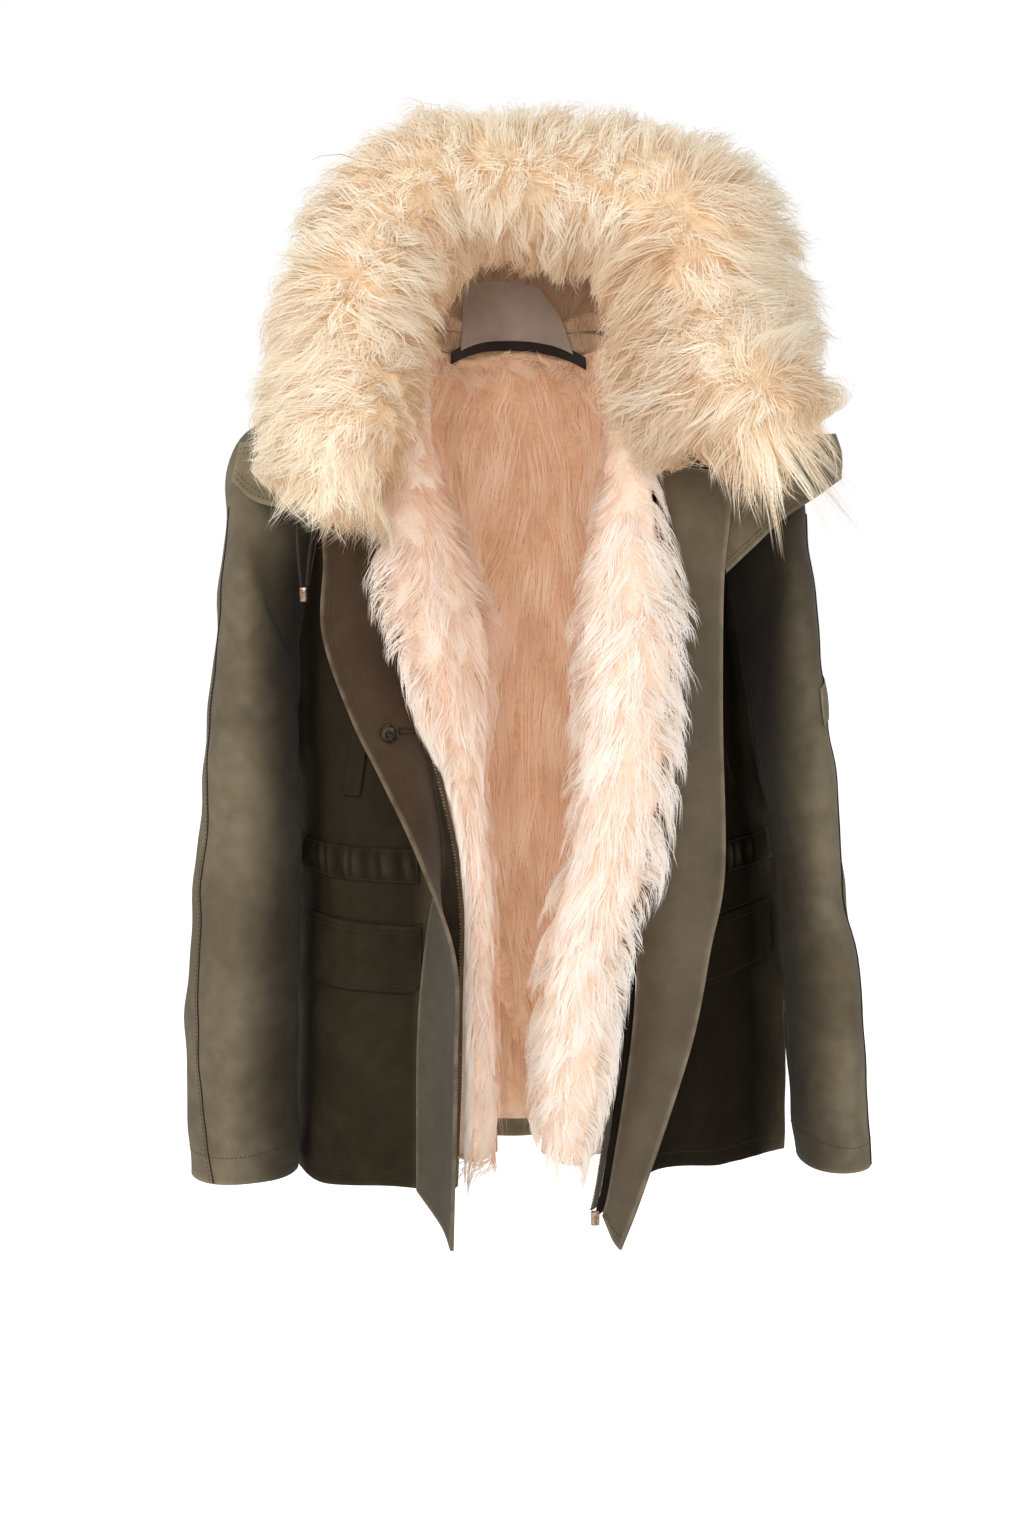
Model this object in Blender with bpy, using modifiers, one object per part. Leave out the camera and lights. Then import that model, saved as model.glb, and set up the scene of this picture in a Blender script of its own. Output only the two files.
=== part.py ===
"""Fur-lined parka with a wide fur-trimmed hood, open down the front and filled out as if worn.

Metres, +Z up, front towards -Y. "Right" is the wearer's right, at -X. The origin is the middle of
the neck opening, level with the back neck seam, where the wearer's neck and shoulders hold it up.

Every cloth piece is a wall between two grids of points: an outer face read from a small table of
sections, and an inner face one cloth thickness further in. Pieces that are sewn together share
their border points and the directions there, then draw back by half the seam gap each.
"""
import math
from collections import namedtuple

import bmesh
import bpy
import numpy as np

# ---------------------------------------------------------------- driving dimensions
CLOTH = 0.0020          # shell cloth with its facing
SEAM_GAP = 0.0003       # between small pieces that are fixed together
SEAM_DRAW = 0.0003      # how far each border draws back from its seam line
ARMHOLE_DRAW = 0.0018   # the same for a sleeve's head, which meets the body at a steep angle
LAY = 0.0012            # clearance under what is laid on a panel
LINING_GAP = 0.0040     # between shell and lining skin
BACK_PILE = 0.018       # fur depth of the back lining
FRONT_PILE = 0.015      # fur depth of the front linings beside the body
HOOD_PILE = 0.014       # fur depth inside the hood
CORD_DIAMETER = 0.003

# grid counts
HEM_TO_ARMPIT = 12      # segments up the body below the armholes
ARMHOLE = 7             # segments up each side of an armhole
FRONT_ACROSS = 9        # segments across a front, and along a shoulder seam
NECK_ACROSS = 8         # segments along the back neck
SLEEVE_DOWN = 16
HOOD_ACROSS = 24
HOOD_DOWN = 10
RUFF_ROUND = 20
RUFF_ALONG = 26         # rings of each half of the ruff

# ---------------------------------------------------------------- body sections
# One row per height. The right front runs from its side seam (or armhole) to its front edge.
Front = namedtuple("Front", "row side mid fore edge")
FRONT_RIGHT = (
    Front("hem", (-0.205, 0.038, -0.752), (-0.176, -0.070, -0.741),
          (-0.124, -0.112, -0.731), (-0.062, -0.122, -0.738)),
    Front("pocket", (-0.200, 0.036, -0.600), (-0.172, -0.066, -0.600),
          (-0.124, -0.108, -0.600), (-0.058, -0.122, -0.600)),
    Front("waist", (-0.198, 0.032, -0.460), (-0.166, -0.060, -0.460),
          (-0.121, -0.101, -0.460), (-0.059, -0.124, -0.460)),
    Front("chest", (-0.197, 0.026, -0.340), (-0.168, -0.060, -0.340),
          (-0.130, -0.098, -0.340), (-0.086, -0.124, -0.338)),
    Front("armpit", (-0.189, 0.000, -0.255), (-0.170, -0.056, -0.252),
          (-0.142, -0.088, -0.250), (-0.113, -0.112, -0.248)),
    Front("armhole", (-0.172, -0.050, -0.160), (-0.160, -0.066, -0.162),
          (-0.144, -0.080, -0.160), (-0.127, -0.091, -0.157)),
    Front("yoke", (-0.181, -0.040, -0.100), (-0.156, -0.054, -0.086),
          (-0.136, -0.062, -0.075), (-0.117, -0.066, -0.065)),
    Front("shoulder", (-0.205, 0.000, -0.062), (-0.166, 0.000, -0.040),
          (-0.127, 0.000, -0.020), (-0.088, 0.000, 0.000)),
)
# The left front runs the same way round the body, from its front edge to its side seam.
FRONT_LEFT = (
    Front("hem", (0.258, 0.030, -0.752), (0.174, -0.085, -0.728),
          (0.104, -0.130, -0.720), (0.054, -0.166, -0.746)),
    Front("pocket", (0.256, 0.032, -0.600), (0.170, -0.086, -0.600),
          (0.116, -0.127, -0.600), (0.078, -0.160, -0.602)),
    Front("waist", (0.248, 0.034, -0.460), (0.168, -0.080, -0.460),
          (0.122, -0.120, -0.460), (0.087, -0.146, -0.460)),
    Front("chest", (0.224, 0.030, -0.340), (0.168, -0.074, -0.340),
          (0.128, -0.113, -0.340), (0.092, -0.138, -0.340)),
    Front("armpit", (0.196, 0.000, -0.255), (0.167, -0.066, -0.252),
          (0.135, -0.098, -0.250), (0.101, -0.122, -0.248)),
    Front("armhole", (0.174, -0.050, -0.160), (0.160, -0.070, -0.162),
          (0.135, -0.086, -0.160), (0.108, -0.096, -0.157)),
    Front("yoke", (0.186, -0.040, -0.100), (0.158, -0.056, -0.086),
          (0.134, -0.063, -0.075), (0.110, -0.068, -0.065)),
    Front("shoulder", (0.210, 0.000, -0.062), (0.169, 0.000, -0.040),
          (0.128, 0.000, -0.020), (0.088, 0.000, 0.000)),
)
Back = namedtuple("Back", "row left left_blade centre right_blade right")
BACK = (
    Back("hem", (0.258, 0.030, -0.752), (0.145, 0.085, -0.750), (0.015, 0.106, -0.755),
         (-0.115, 0.092, -0.750), (-0.205, 0.038, -0.752)),
    Back("pocket", (0.256, 0.032, -0.600), (0.140, 0.081, -0.600), (0.012, 0.102, -0.600),
         (-0.113, 0.087, -0.600), (-0.200, 0.036, -0.600)),
    Back("waist", (0.248, 0.034, -0.460), (0.132, 0.077, -0.460), (0.008, 0.096, -0.460),
         (-0.110, 0.080, -0.460), (-0.198, 0.032, -0.460)),
    Back("chest", (0.224, 0.030, -0.340), (0.128, 0.079, -0.340), (0.002, 0.100, -0.340),
         (-0.114, 0.080, -0.340), (-0.197, 0.026, -0.340)),
    Back("armpit", (0.196, 0.000, -0.255), (0.125, 0.080, -0.250), (0.000, 0.104, -0.250),
         (-0.118, 0.079, -0.250), (-0.189, 0.000, -0.255)),
    Back("armhole", (0.178, 0.046, -0.160), (0.118, 0.083, -0.160), (0.000, 0.104, -0.160),
         (-0.116, 0.082, -0.160), (-0.176, 0.046, -0.160)),
    Back("yoke", (0.188, 0.036, -0.100), (0.108, 0.067, -0.078), (0.000, 0.094, -0.070),
         (-0.108, 0.067, -0.078), (-0.184, 0.036, -0.100)),
    Back("shoulder", (0.210, 0.000, -0.062), (0.088, 0.000, 0.000), (0.000, 0.070, 0.000),
         (-0.088, 0.000, 0.000), (-0.205, 0.000, -0.062)),
)

# ---------------------------------------------------------------- sleeves
# Rings from the cuff up. "lift" raises the outer side of a ring and lowers its inner side.
Ring = namedtuple("Ring", "row x y z half_x half_y lift")
SLEEVE_RIGHT = (
    Ring("cuff", -0.244, -0.034, -0.738, 0.047, 0.048, 0.000),
    Ring("hem fold", -0.245, -0.036, -0.690, 0.049, 0.050, 0.000),
    Ring("low forearm", -0.244, -0.036, -0.600, 0.049, 0.052, 0.000),
    Ring("forearm", -0.239, -0.036, -0.500, 0.046, 0.054, 0.004),
    Ring("elbow", -0.234, -0.034, -0.400, 0.042, 0.058, 0.010),
    Ring("low upper arm", -0.230, -0.026, -0.308, 0.036, 0.062, 0.026),
    Ring("upper arm", -0.226, -0.016, -0.240, 0.030, 0.065, 0.058),
    Ring("cap", -0.223, -0.006, -0.190, 0.025, 0.064, 0.083),
)
SLEEVE_LEFT = (
    Ring("cuff", 0.286, -0.034, -0.741, 0.033, 0.049, 0.000),
    Ring("hem fold", 0.282, -0.036, -0.690, 0.034, 0.051, 0.000),
    Ring("low forearm", 0.274, -0.036, -0.600, 0.033, 0.054, 0.000),
    Ring("forearm", 0.263, -0.036, -0.500, 0.030, 0.056, 0.004),
    Ring("elbow", 0.249, -0.033, -0.400, 0.029, 0.058, 0.010),
    Ring("low upper arm", 0.239, -0.026, -0.308, 0.027, 0.060, 0.026),
    Ring("upper arm", 0.231, -0.016, -0.240, 0.025, 0.062, 0.058),
    Ring("cap", 0.225, -0.006, -0.190, 0.021, 0.062, 0.083),
)

# Main folds of the shell: a ridge, or a trough where the depth is negative, along a line.
Fold = namedtuple("Fold", "place start end width depth")
FOLDS = (
    Fold("right elbow, outer", (-0.290, -0.060, -0.420), (-0.235, -0.092, -0.450), 0.024, -0.0024),
    Fold("right forearm, long", (-0.262, -0.086, -0.500), (-0.250, -0.086, -0.700), 0.022, 0.0030),
    Fold("right upper arm, long", (-0.244, -0.080, -0.200), (-0.252, -0.088, -0.400), 0.022, 0.0030),
    Fold("right sleeve behind", (-0.270, 0.010, -0.420), (-0.215, 0.018, -0.460), 0.026, -0.0050),
    Fold("left elbow, inner", (0.222, -0.070, -0.470), (0.285, -0.085, -0.495), 0.024, -0.0060),
    Fold("left forearm, long", (0.275, -0.088, -0.540), (0.288, -0.082, -0.710), 0.020, 0.0040),
    Fold("left upper arm, long", (0.245, -0.078, -0.210), (0.262, -0.086, -0.400), 0.020, 0.0040),
    Fold("left sleeve behind", (0.300, 0.010, -0.430), (0.240, 0.020, -0.470), 0.026, -0.0050),
    Fold("right front drape", (-0.140, -0.095, -0.580), (-0.135, -0.105, -0.740), 0.022, 0.0040),
    Fold("left front drape", (0.150, -0.100, -0.580), (0.158, -0.092, -0.740), 0.022, 0.0045),
    Fold("back drape, right", (-0.070, 0.105, -0.500), (-0.078, 0.108, -0.750), 0.026, 0.0060),
    Fold("back drape, left", (0.085, 0.103, -0.500), (0.092, 0.108, -0.750), 0.026, 0.0060),
    Fold("back drape, middle", (0.010, 0.100, -0.520), (0.012, 0.106, -0.750), 0.026, -0.0050),
    Fold("right blade", (-0.110, 0.090, -0.150), (-0.085, 0.090, -0.330), 0.028, 0.0045),
    Fold("left blade", (0.112, 0.090, -0.150), (0.090, 0.090, -0.330), 0.028, 0.0045),
)

# ---------------------------------------------------------------- ruff
# Stations of the fur roll, from the wearer's right throat over the crown to the left throat.
Station = namedtuple("Station", "place x y z half_width half_depth")
RUFF = (
    Station("right tip", -0.157, -0.158, -0.150, 0.060, 0.024),
    Station("right low", -0.153, -0.150, -0.108, 0.070, 0.040),
    Station("right middle", -0.143, -0.134, -0.059, 0.074, 0.048),
    Station("right crease", -0.135, -0.112, -0.008, 0.074, 0.046),
    Station("right high", -0.111, -0.086, 0.053, 0.077, 0.050),
    Station("right top", -0.078, -0.058, 0.099, 0.074, 0.050),
    Station("crown", 0.000, -0.046, 0.109, 0.072, 0.048),
    Station("left top", 0.081, -0.056, 0.100, 0.074, 0.050),
    Station("left high", 0.137, -0.084, 0.064, 0.092, 0.050),
    Station("left crease", 0.148, -0.110, 0.008, 0.089, 0.046),
    Station("left middle", 0.154, -0.134, -0.050, 0.095, 0.046),
    Station("left low", 0.177, -0.150, -0.086, 0.081, 0.042),
    Station("left tip", 0.186, -0.158, -0.108, 0.064, 0.026),
)
RUFF_TUFT = 0.03        # height of each wave of tufts, as a share of the roll's half width
RUFF_WAVES = ((3.0, 2.3), (2.0, 5.1))       # tufts round the section, and radians per station

# ---------------------------------------------------------------- hood
# Columns run over the head from the right neck edge to the left one. The rim follows the ruff's
# back, and the nape lies on the back neck seam.
HoodLine = namedtuple("HoodLine", "place station mid back low")
HOOD = (
    HoodLine("right low", 3.00, (-0.160, -0.012, 0.000), (-0.122, 0.044, 0.016), (-0.090, 0.058, 0.010)),
    HoodLine("right side", 4.30, (-0.142, 0.026, 0.078), (-0.104, 0.088, 0.062), (-0.066, 0.092, 0.026)),
    HoodLine("crown", 6.00, (0.000, 0.068, 0.160), (0.000, 0.130, 0.104), (0.000, 0.116, 0.040)),
    HoodLine("left side", 7.70, (0.152, 0.026, 0.084), (0.108, 0.088, 0.062), (0.068, 0.092, 0.026)),
    HoodLine("left low", 9.00, (0.172, -0.012, 0.004), (0.126, 0.044, 0.016), (0.092, 0.058, 0.010)),
)
HOOD_NECK_STATIONS = (1.80, 10.20)      # where the hood's two neck edges start on the ruff
HOOD_NECK_UP = (6.10, 6.55, 6.85)       # body rows that they follow down to the back neck
HOOD_NECK_CLEAR = 0.007                 # how far the two neck edges stand off the fronts
NAPE_GAP = 0.0018                       # between the hood's foot and the back neck seam
HOOD_ATTACH = math.radians(62)      # where the rim meets the ruff, from its outer edge to its back
HOOD_CLEAR = 0.0099                 # how far the rim stands off the ruff
CENTRE_STRIP = (2.50, 3.50)         # the centre strip, in hood columns
HOOD_FUR_UP = (2.0, HOOD_DOWN - 2.6)        # the fur inside it, in grid rows from the rim
HOOD_FUR_ACROSS = (1.0, HOOD_ACROSS - 1.0)

# ---------------------------------------------------------------- flaps and zip
# "root" is where the flap is sewn, in columns of the front; the rest are points of the flap.
FlapRow = namedtuple("FlapRow", "up root middle free")
FLAP_RIGHT = (
    FlapRow(0.00, 2.52, (-0.073, -0.160, -0.752), (-0.067, -0.198, -0.759)),
    FlapRow(1.00, 2.52, (-0.068, -0.158, -0.610), (-0.063, -0.191, -0.610)),
    FlapRow(1.60, 2.55, (-0.070, -0.158, -0.523), (-0.064, -0.189, -0.523)),
    FlapRow(2.12, 2.66, (-0.078, -0.160, -0.447), (-0.091, -0.180, -0.445)),
    FlapRow(2.62, 2.80, (-0.092, -0.158, -0.384), (-0.122, -0.168, -0.380)),
    FlapRow(3.05, 2.90, (-0.115, -0.154, -0.334), (-0.146, -0.156, -0.332)),
    FlapRow(3.80, 2.97, (-0.138, -0.139, -0.266), (-0.169, -0.138, -0.265)),
    FlapRow(4.45, 2.98, (-0.146, -0.119, -0.204), (-0.168, -0.118, -0.204)),
    FlapRow(4.95, 2.98, (-0.151, -0.106, -0.158), (-0.172, -0.101, -0.158)),
)
FLAP_LEFT = (
    FlapRow(0.00, 2.94, (0.064, -0.188, -0.757), (0.068, -0.200, -0.761)),
    FlapRow(0.22, 2.94, (0.074, -0.184, -0.716), (0.088, -0.196, -0.712)),
    FlapRow(1.00, 2.94, (0.104, -0.178, -0.602), (0.128, -0.182, -0.602)),
    FlapRow(1.55, 2.94, (0.115, -0.172, -0.524), (0.146, -0.170, -0.522)),
    FlapRow(2.00, 2.94, (0.122, -0.166, -0.458), (0.159, -0.160, -0.458)),
    FlapRow(3.00, 2.94, (0.124, -0.158, -0.342), (0.158, -0.150, -0.342)),
    FlapRow(3.80, 2.94, (0.130, -0.148, -0.268), (0.159, -0.141, -0.268)),
    FlapRow(4.40, 2.94, (0.133, -0.130, -0.210), (0.163, -0.126, -0.212)),
    FlapRow(4.95, 2.94, (0.139, -0.112, -0.158), (0.172, -0.104, -0.160)),
    FlapRow(5.40, 2.94, (0.141, -0.102, -0.126), (0.170, -0.099, -0.130)),
)
FLAP_THICK = 0.0024
FLAP_DOWN, FLAP_ACROSS = 20, 5
BUTTON_ROW, BUTTON_COLUMN = 12, 3       # grid point of the right flap that carries the button
FLAP_STAND = 0.0016     # clearance of a flap's root in front of the panel
ZIP_TAPE = 0.009        # width of each tape
ZIP_THICK = 0.0014
ZIP_CLEAR = 0.0016      # between the panel's edge and the tape
# the way each tape stands: towards the opening and forward
ZIP_AIMS = {-1: (-0.35, -0.94), 1: (0.55, -0.84)}
ZIP_TOP, ZIP_FOOT = 4.90, 0.06      # in body rows
ZIP_ROWS = 17
ZIP_END_SIZE = (0.007, 0.004, 0.012)
ZIP_END_BEVEL = 0.0008

# ---------------------------------------------------------------- front fur
# The fur of each front: a thin pile beside the body that swells to a roll along the opening.
# outer and inner are the roll's two sides, front is its foremost depth.
Roll = namedtuple("Roll", "up outer front inner")
ROLL_RIGHT = (
    Roll(0.13, (-0.050, -0.142), -0.152, (-0.030, -0.106)),
    Roll(1.00, (-0.047, -0.145), -0.160, (-0.026, -0.104)),
    Roll(2.00, (-0.046, -0.150), -0.166, (-0.030, -0.106)),
    Roll(2.60, (-0.056, -0.156), -0.174, (-0.036, -0.108)),
    Roll(3.05, (-0.084, -0.160), -0.178, (-0.030, -0.104)),
    Roll(3.80, (-0.116, -0.156), -0.176, (-0.026, -0.096)),
    Roll(4.40, (-0.128, -0.138), -0.158, (-0.038, -0.086)),
    Roll(5.00, (-0.122, -0.118), -0.132, (-0.058, -0.074)),
    Roll(5.50, (-0.112, -0.096), -0.104, (-0.070, -0.056)),
)
ROLL_LEFT = (
    Roll(0.18, (0.040, -0.176), -0.184, (0.012, -0.126)),
    Roll(0.60, (0.057, -0.184), -0.204, (0.003, -0.128)),
    Roll(1.00, (0.066, -0.186), -0.210, (0.002, -0.126)),
    Roll(1.60, (0.079, -0.190), -0.212, (0.012, -0.122)),
    Roll(2.05, (0.102, -0.194), -0.212, (0.026, -0.120)),
    Roll(3.00, (0.119, -0.182), -0.204, (0.038, -0.114)),
    Roll(3.80, (0.126, -0.170), -0.192, (0.037, -0.106)),
    Roll(4.50, (0.118, -0.146), -0.168, (0.046, -0.092)),
    Roll(5.00, (0.114, -0.124), -0.138, (0.058, -0.076)),
    Roll(5.50, (0.106, -0.098), -0.106, (0.068, -0.058)),
)
FUR_TUFT = 0.003        # height of the tufts of the linings
FRONT_WAVES = (2.4, 1.9)        # radians per ring up the front, and per table column across it
BACK_WAVES = (1.3, 0.9)         # radians per grid row and per grid column
HOOD_WAVES = (2.1, 1.7)
FRONT_SKIN_COLUMNS = (0.62, 1.10, 1.60, 2.10, 2.60)     # where a front's lining lies, 0 = side seam
FRONT_PILE_COLUMNS = (2.35, 2.00, 1.60, 1.10, 0.62)     # its pile, back towards the side seam
FRONT_FUR_RINGS = 20
THROAT_IN, THROAT_BACK = 0.0125, 0.004      # where the fur passes the zip tape, from the front edge
ROLL_IN, ROLL_AHEAD, ROLL_RISE = 0.0135, 0.010, 0.012   # first point of the roll beyond it
ROLL_TURNS = (0.0, 0.2, 0.4, 0.6, 0.8, 1.0)             # half turns round the roll
ROLL_SQUARE = 0.8       # below 1 makes the roll fuller than an ellipse
BACK_FUR_UP = (0.14, 6.45)
BACK_FUR_TOP = 0.55     # share of its depth that the back's fur keeps at the neck

# ---------------------------------------------------------------- what is laid on the fronts
# rows and columns of the front panels; up is 0 at the hem and 5 at the armhole row
CASING_UP = (1.90, 2.12)
CASING_THICK = 0.0012
CASING_DRAW = 0.03      # of a column, between a casing's ends and the seams beside it
CASING_SWELL = (0.15, 1.0, 1.0, 0.15)   # of the gathers' height, from the lower stitches to the upper
GATHER_HEIGHT = 0.0022
# how many gathers each casing has, and how many points stand between two columns of its panel
Gather = namedtuple("Gather", "place count parts first last")
GATHERS = (
    Gather("back", 26, 2, 0.0, 2.0 * FRONT_ACROSS + NECK_ACROSS),
    Gather("right", 11, 3, 0.0, 0.84 * FRONT_ACROSS),
    Gather("left", 13, 3, 0.20 * FRONT_ACROSS, 1.0 * FRONT_ACROSS),
)
POCKET_FLAP_UP = (1.24, 1.64)
POCKET_FLAP_ACROSS = (("right", 1.60, 8.15), ("left", 1.90, 8.40))      # in grid columns
POCKET_FLAP_THICK = 0.0024
WELT_UP = (2.46, 3.04)
WELT_SLANT = (("right", 4.0, 5.2), ("left", 6.0, 4.8))      # first column at the foot and at the top
WELT_WIDTH = 1.02       # in grid columns
WELT_THICK = 0.0026
THROAT_THICK = 0.0026
BUTTON_RADIUS, BUTTON_THICK = 0.0075, 0.0032
TAB_SIZE = (0.011, 0.0016, 0.022)
TAB_PLACE = (-0.016, 0.092, -0.757)
TAB_BEVEL = 0.0003
SLEEVE_PATCH_UP = (9.0, 9.65)       # in rings of the left sleeve's grid
SLEEVE_PATCH_ACROSS = (4.5, 6.7)    # from its inner seam (0) to its outer seam
SLEEVE_PATCH_THICK = 0.0024

THROAT_RIGHT = (
    ((-0.244, -0.079, -0.138), (-0.226, -0.083, -0.154), (-0.202, -0.087, -0.160), (-0.179, -0.090, -0.158)),
    ((-0.238, -0.074, -0.106), (-0.218, -0.077, -0.104), (-0.196, -0.080, -0.104), (-0.174, -0.083, -0.104)),
)
THROAT_LEFT = (
    ((0.166, -0.119, -0.214), (0.190, -0.106, -0.194), (0.220, -0.094, -0.168),
     (0.252, -0.081, -0.148), (0.274, -0.074, -0.133)),
    ((0.160, -0.102, -0.180), (0.186, -0.096, -0.160), (0.218, -0.088, -0.138),
     (0.250, -0.078, -0.120), (0.275, -0.071, -0.112)),
    ((0.156, -0.088, -0.130), (0.182, -0.086, -0.116), (0.214, -0.082, -0.104),
     (0.246, -0.074, -0.096), (0.270, -0.068, -0.094)),
)
# The neck pieces lie inside the back neck seam: each row is that arc scaled down, moved aside, back
# and up, and lower towards its ends by sag times the square of its distance from the middle.
NeckRow = namedtuple("NeckRow", "place scale aside back up sag")
NECK_PANEL = (NeckRow("foot", 0.83, 0.000, 0.000, 0.001, 4.8),
              NeckRow("middle", 0.73, -0.003, 0.022, 0.032, 3.8),
              NeckRow("top", 0.58, -0.010, 0.046, 0.058, 3.0))
NECK_BAND = (NeckRow("foot", 0.90, 0.000, 0.000, -0.008, 5.0),
             NeckRow("top", 0.89, 0.000, 0.000, 0.003, 5.0))
NECK_PANEL_SPAN, NECK_BAND_SPAN = (0.16, 0.87), (0.13, 0.91)    # shares of the arc, right to left
NECK_WALL = 0.0018
NECK_POINTS = 15        # points along each row
NeckPiece = namedtuple("NeckPiece", "name rows span material")
NECK_PIECES = (NeckPiece("neck_panel", NECK_PANEL, NECK_PANEL_SPAN, "neck_cloth"),
               NeckPiece("neck_band", NECK_BAND, NECK_BAND_SPAN, "zip_tape"))

# Drawcord strands, from under the ruff down to the metal tip.
CORD_OUTER = ((-0.187, -0.1000, -0.148), (-0.189, -0.1015, -0.172),
              (-0.1885, -0.1030, -0.198), (-0.1862, -0.1040, -0.2255))
CORD_INNER = ((-0.174, -0.1075, -0.146), (-0.1745, -0.1085, -0.170),
              (-0.1790, -0.1070, -0.198), (-0.1818, -0.1044, -0.2255))
CORD_TIP_TOP = (-0.184, -0.1042, -0.2262)
CORD_TIP_RADIUS, CORD_TIP_LENGTH = 0.0042, 0.0125

# ---------------------------------------------------------------- finishes: colour, roughness, metallic
FINISHES = {
    "shell_twill": ((0.085, 0.078, 0.052), 0.86, 0.0),
    "facing_twill": ((0.105, 0.086, 0.062), 0.84, 0.0),
    "fur_cream": ((0.86, 0.70, 0.50), 0.92, 0.0),
    "fur_lining": ((0.80, 0.58, 0.42), 0.92, 0.0),
    "neck_cloth": ((0.22, 0.19, 0.18), 0.80, 0.0),
    "zip_tape": ((0.035, 0.030, 0.024), 0.85, 0.0),
    "dark_metal": ((0.16, 0.13, 0.10), 0.35, 1.0),
    "cord": ((0.045, 0.035, 0.028), 0.80, 0.0),
    "tan_tape": ((0.52, 0.38, 0.24), 0.85, 0.0),
}


# ================================================================ curves and grids
def smooth(points, at):
    """Catmull-Rom curve through points (their first axis), read at the parameters in at."""
    points = np.asarray(points, float)
    at = np.asarray(at, float)
    left = np.clip(np.floor(at).astype(int), 0, len(points) - 2)
    t = (at - left).reshape((-1,) + (1,) * (points.ndim - 1))
    slope = np.gradient(points, axis=0)
    return ((2 * t**3 - 3 * t**2 + 1) * points[left] + (t**3 - 2 * t**2 + t) * slope[left]
            + (3 * t**2 - 2 * t**3) * points[left + 1] + (t**3 - t**2) * slope[left + 1])


def sheet(net, up, across):
    """Surface through a net of rows and columns, read on a grid of parameters."""
    return smooth(smooth(net, up).swapaxes(0, 1), across).swapaxes(0, 1)


def unit(vectors):
    return vectors / np.linalg.norm(vectors, axis=-1, keepdims=True)


def facing(grid):
    """Unit directions out of a grid whose columns run to the right and whose rows run up."""
    return unit(np.cross(np.gradient(grid, axis=1), np.gradient(grid, axis=0)))


def body_rows():
    """Row parameters: even steps to the armpit (row 4), then one step per armhole segment."""
    return np.concatenate([np.linspace(0, 4, HEM_TO_ARMPIT + 1), np.linspace(4, 7, ARMHOLE + 1)[1:]])


def read(cloth, up, across, lift):
    """Points on the flat facets of a cloth at fractional rows and columns, moved out by lift.

    Each point is a weighted mean of the four grid points round it, and so is its direction."""
    up, across = np.broadcast_arrays(np.asarray(up, float), np.asarray(across, float))
    row = np.clip(np.floor(up).astype(int), 0, cloth["out"].shape[0] - 2)
    column = np.clip(np.floor(across).astype(int), 0, cloth["out"].shape[1] - 2)
    a, b = (up - row)[..., None], (across - column)[..., None]

    def mean(grid):
        return ((1 - a) * (1 - b) * grid[row, column] + (1 - a) * b * grid[row, column + 1]
                + a * (1 - b) * grid[row + 1, column] + a * b * grid[row + 1, column + 1])
    return mean(cloth["out"]) + lift * unit(mean(cloth["facing"]))


def stops(first, last, parts=1):
    """first and last, every whole number between them, and parts - 1 more between neighbours."""
    marks = [first] + [float(n) for n in range(math.floor(first) + 1, math.ceil(last))] + [last]
    return np.concatenate([np.linspace(p, q, parts + 1)[:-1] for p, q in zip(marks, marks[1:])] + [[last]])


def row_of(up):
    """Grid row, with its fraction, of a body height given in table rows."""
    return float(np.interp(up, body_rows(), np.arange(len(body_rows()))))


# ================================================================ solids
def finish(name):
    material = bpy.data.materials.get(name)
    if material is None:
        colour, roughness, metallic = FINISHES[name]
        material = bpy.data.materials.new(name)
        material.use_nodes = True
        shader = material.node_tree.nodes["Principled BSDF"]
        shader.inputs["Base Color"].default_value = (*colour, 1.0)
        shader.inputs["Roughness"].default_value = roughness
        shader.inputs["Metallic"].default_value = metallic
        material.diffuse_color = (*colour, 1.0)
    return material


def place(mesh_builder, name, material):
    """Turns a closed bmesh into a named object in the parka's collection."""
    bmesh.ops.recalc_face_normals(mesh_builder, faces=mesh_builder.faces)
    mesh = bpy.data.meshes.new(name)
    mesh_builder.to_mesh(mesh)
    mesh_builder.free()
    mesh.materials.append(finish(material))
    mesh.shade_smooth()
    mesh.set_sharp_from_angle(angle=math.radians(50))
    piece = bpy.data.objects.new(name, mesh)
    bpy.data.collections[COLLECTION].objects.link(piece)
    flat = piece.modifiers.new("Facets", "TRIANGULATE")
    flat.quad_method = "FIXED"
    return piece


def draw_back(grid, edges):
    """Draws the named borders (left, right, top, head) in along the cloth, away from the seams."""
    grid = grid.copy()
    for side, border, inner, draw in (("l", np.s_[:, 0], np.s_[:, 1], SEAM_DRAW),
                                      ("r", np.s_[:, -1], np.s_[:, -2], SEAM_DRAW),
                                      ("t", np.s_[-1], np.s_[-2], SEAM_DRAW),
                                      ("h", np.s_[-1], np.s_[-2], ARMHOLE_DRAW)):
        if side in edges:
            grid[border] = grid[border] + draw * unit(grid[inner] - grid[border])
    return grid


def wall(name, outer, inner, material):
    """Closed wall between two grids of the same size: both faces and the four rims."""
    rows, columns = outer.shape[:2]
    build = bmesh.new()
    front, rear = ([[build.verts.new(point) for point in line] for line in grid.tolist()]
                   for grid in (outer, inner))
    for i in range(rows - 1):
        for j in range(columns - 1):
            build.faces.new((front[i][j], front[i][j + 1], front[i + 1][j + 1], front[i + 1][j]))
            build.faces.new((rear[i][j], rear[i + 1][j], rear[i + 1][j + 1], rear[i][j + 1]))
    for j in range(columns - 1):
        build.faces.new((front[0][j + 1], front[0][j], rear[0][j], rear[0][j + 1]))
        build.faces.new((front[-1][j], front[-1][j + 1], rear[-1][j + 1], rear[-1][j]))
    for i in range(rows - 1):
        build.faces.new((front[i][0], front[i + 1][0], rear[i + 1][0], rear[i][0]))
        build.faces.new((front[i][-1], rear[i][-1], rear[i + 1][-1], front[i + 1][-1]))
    return place(build, name, material)


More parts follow.
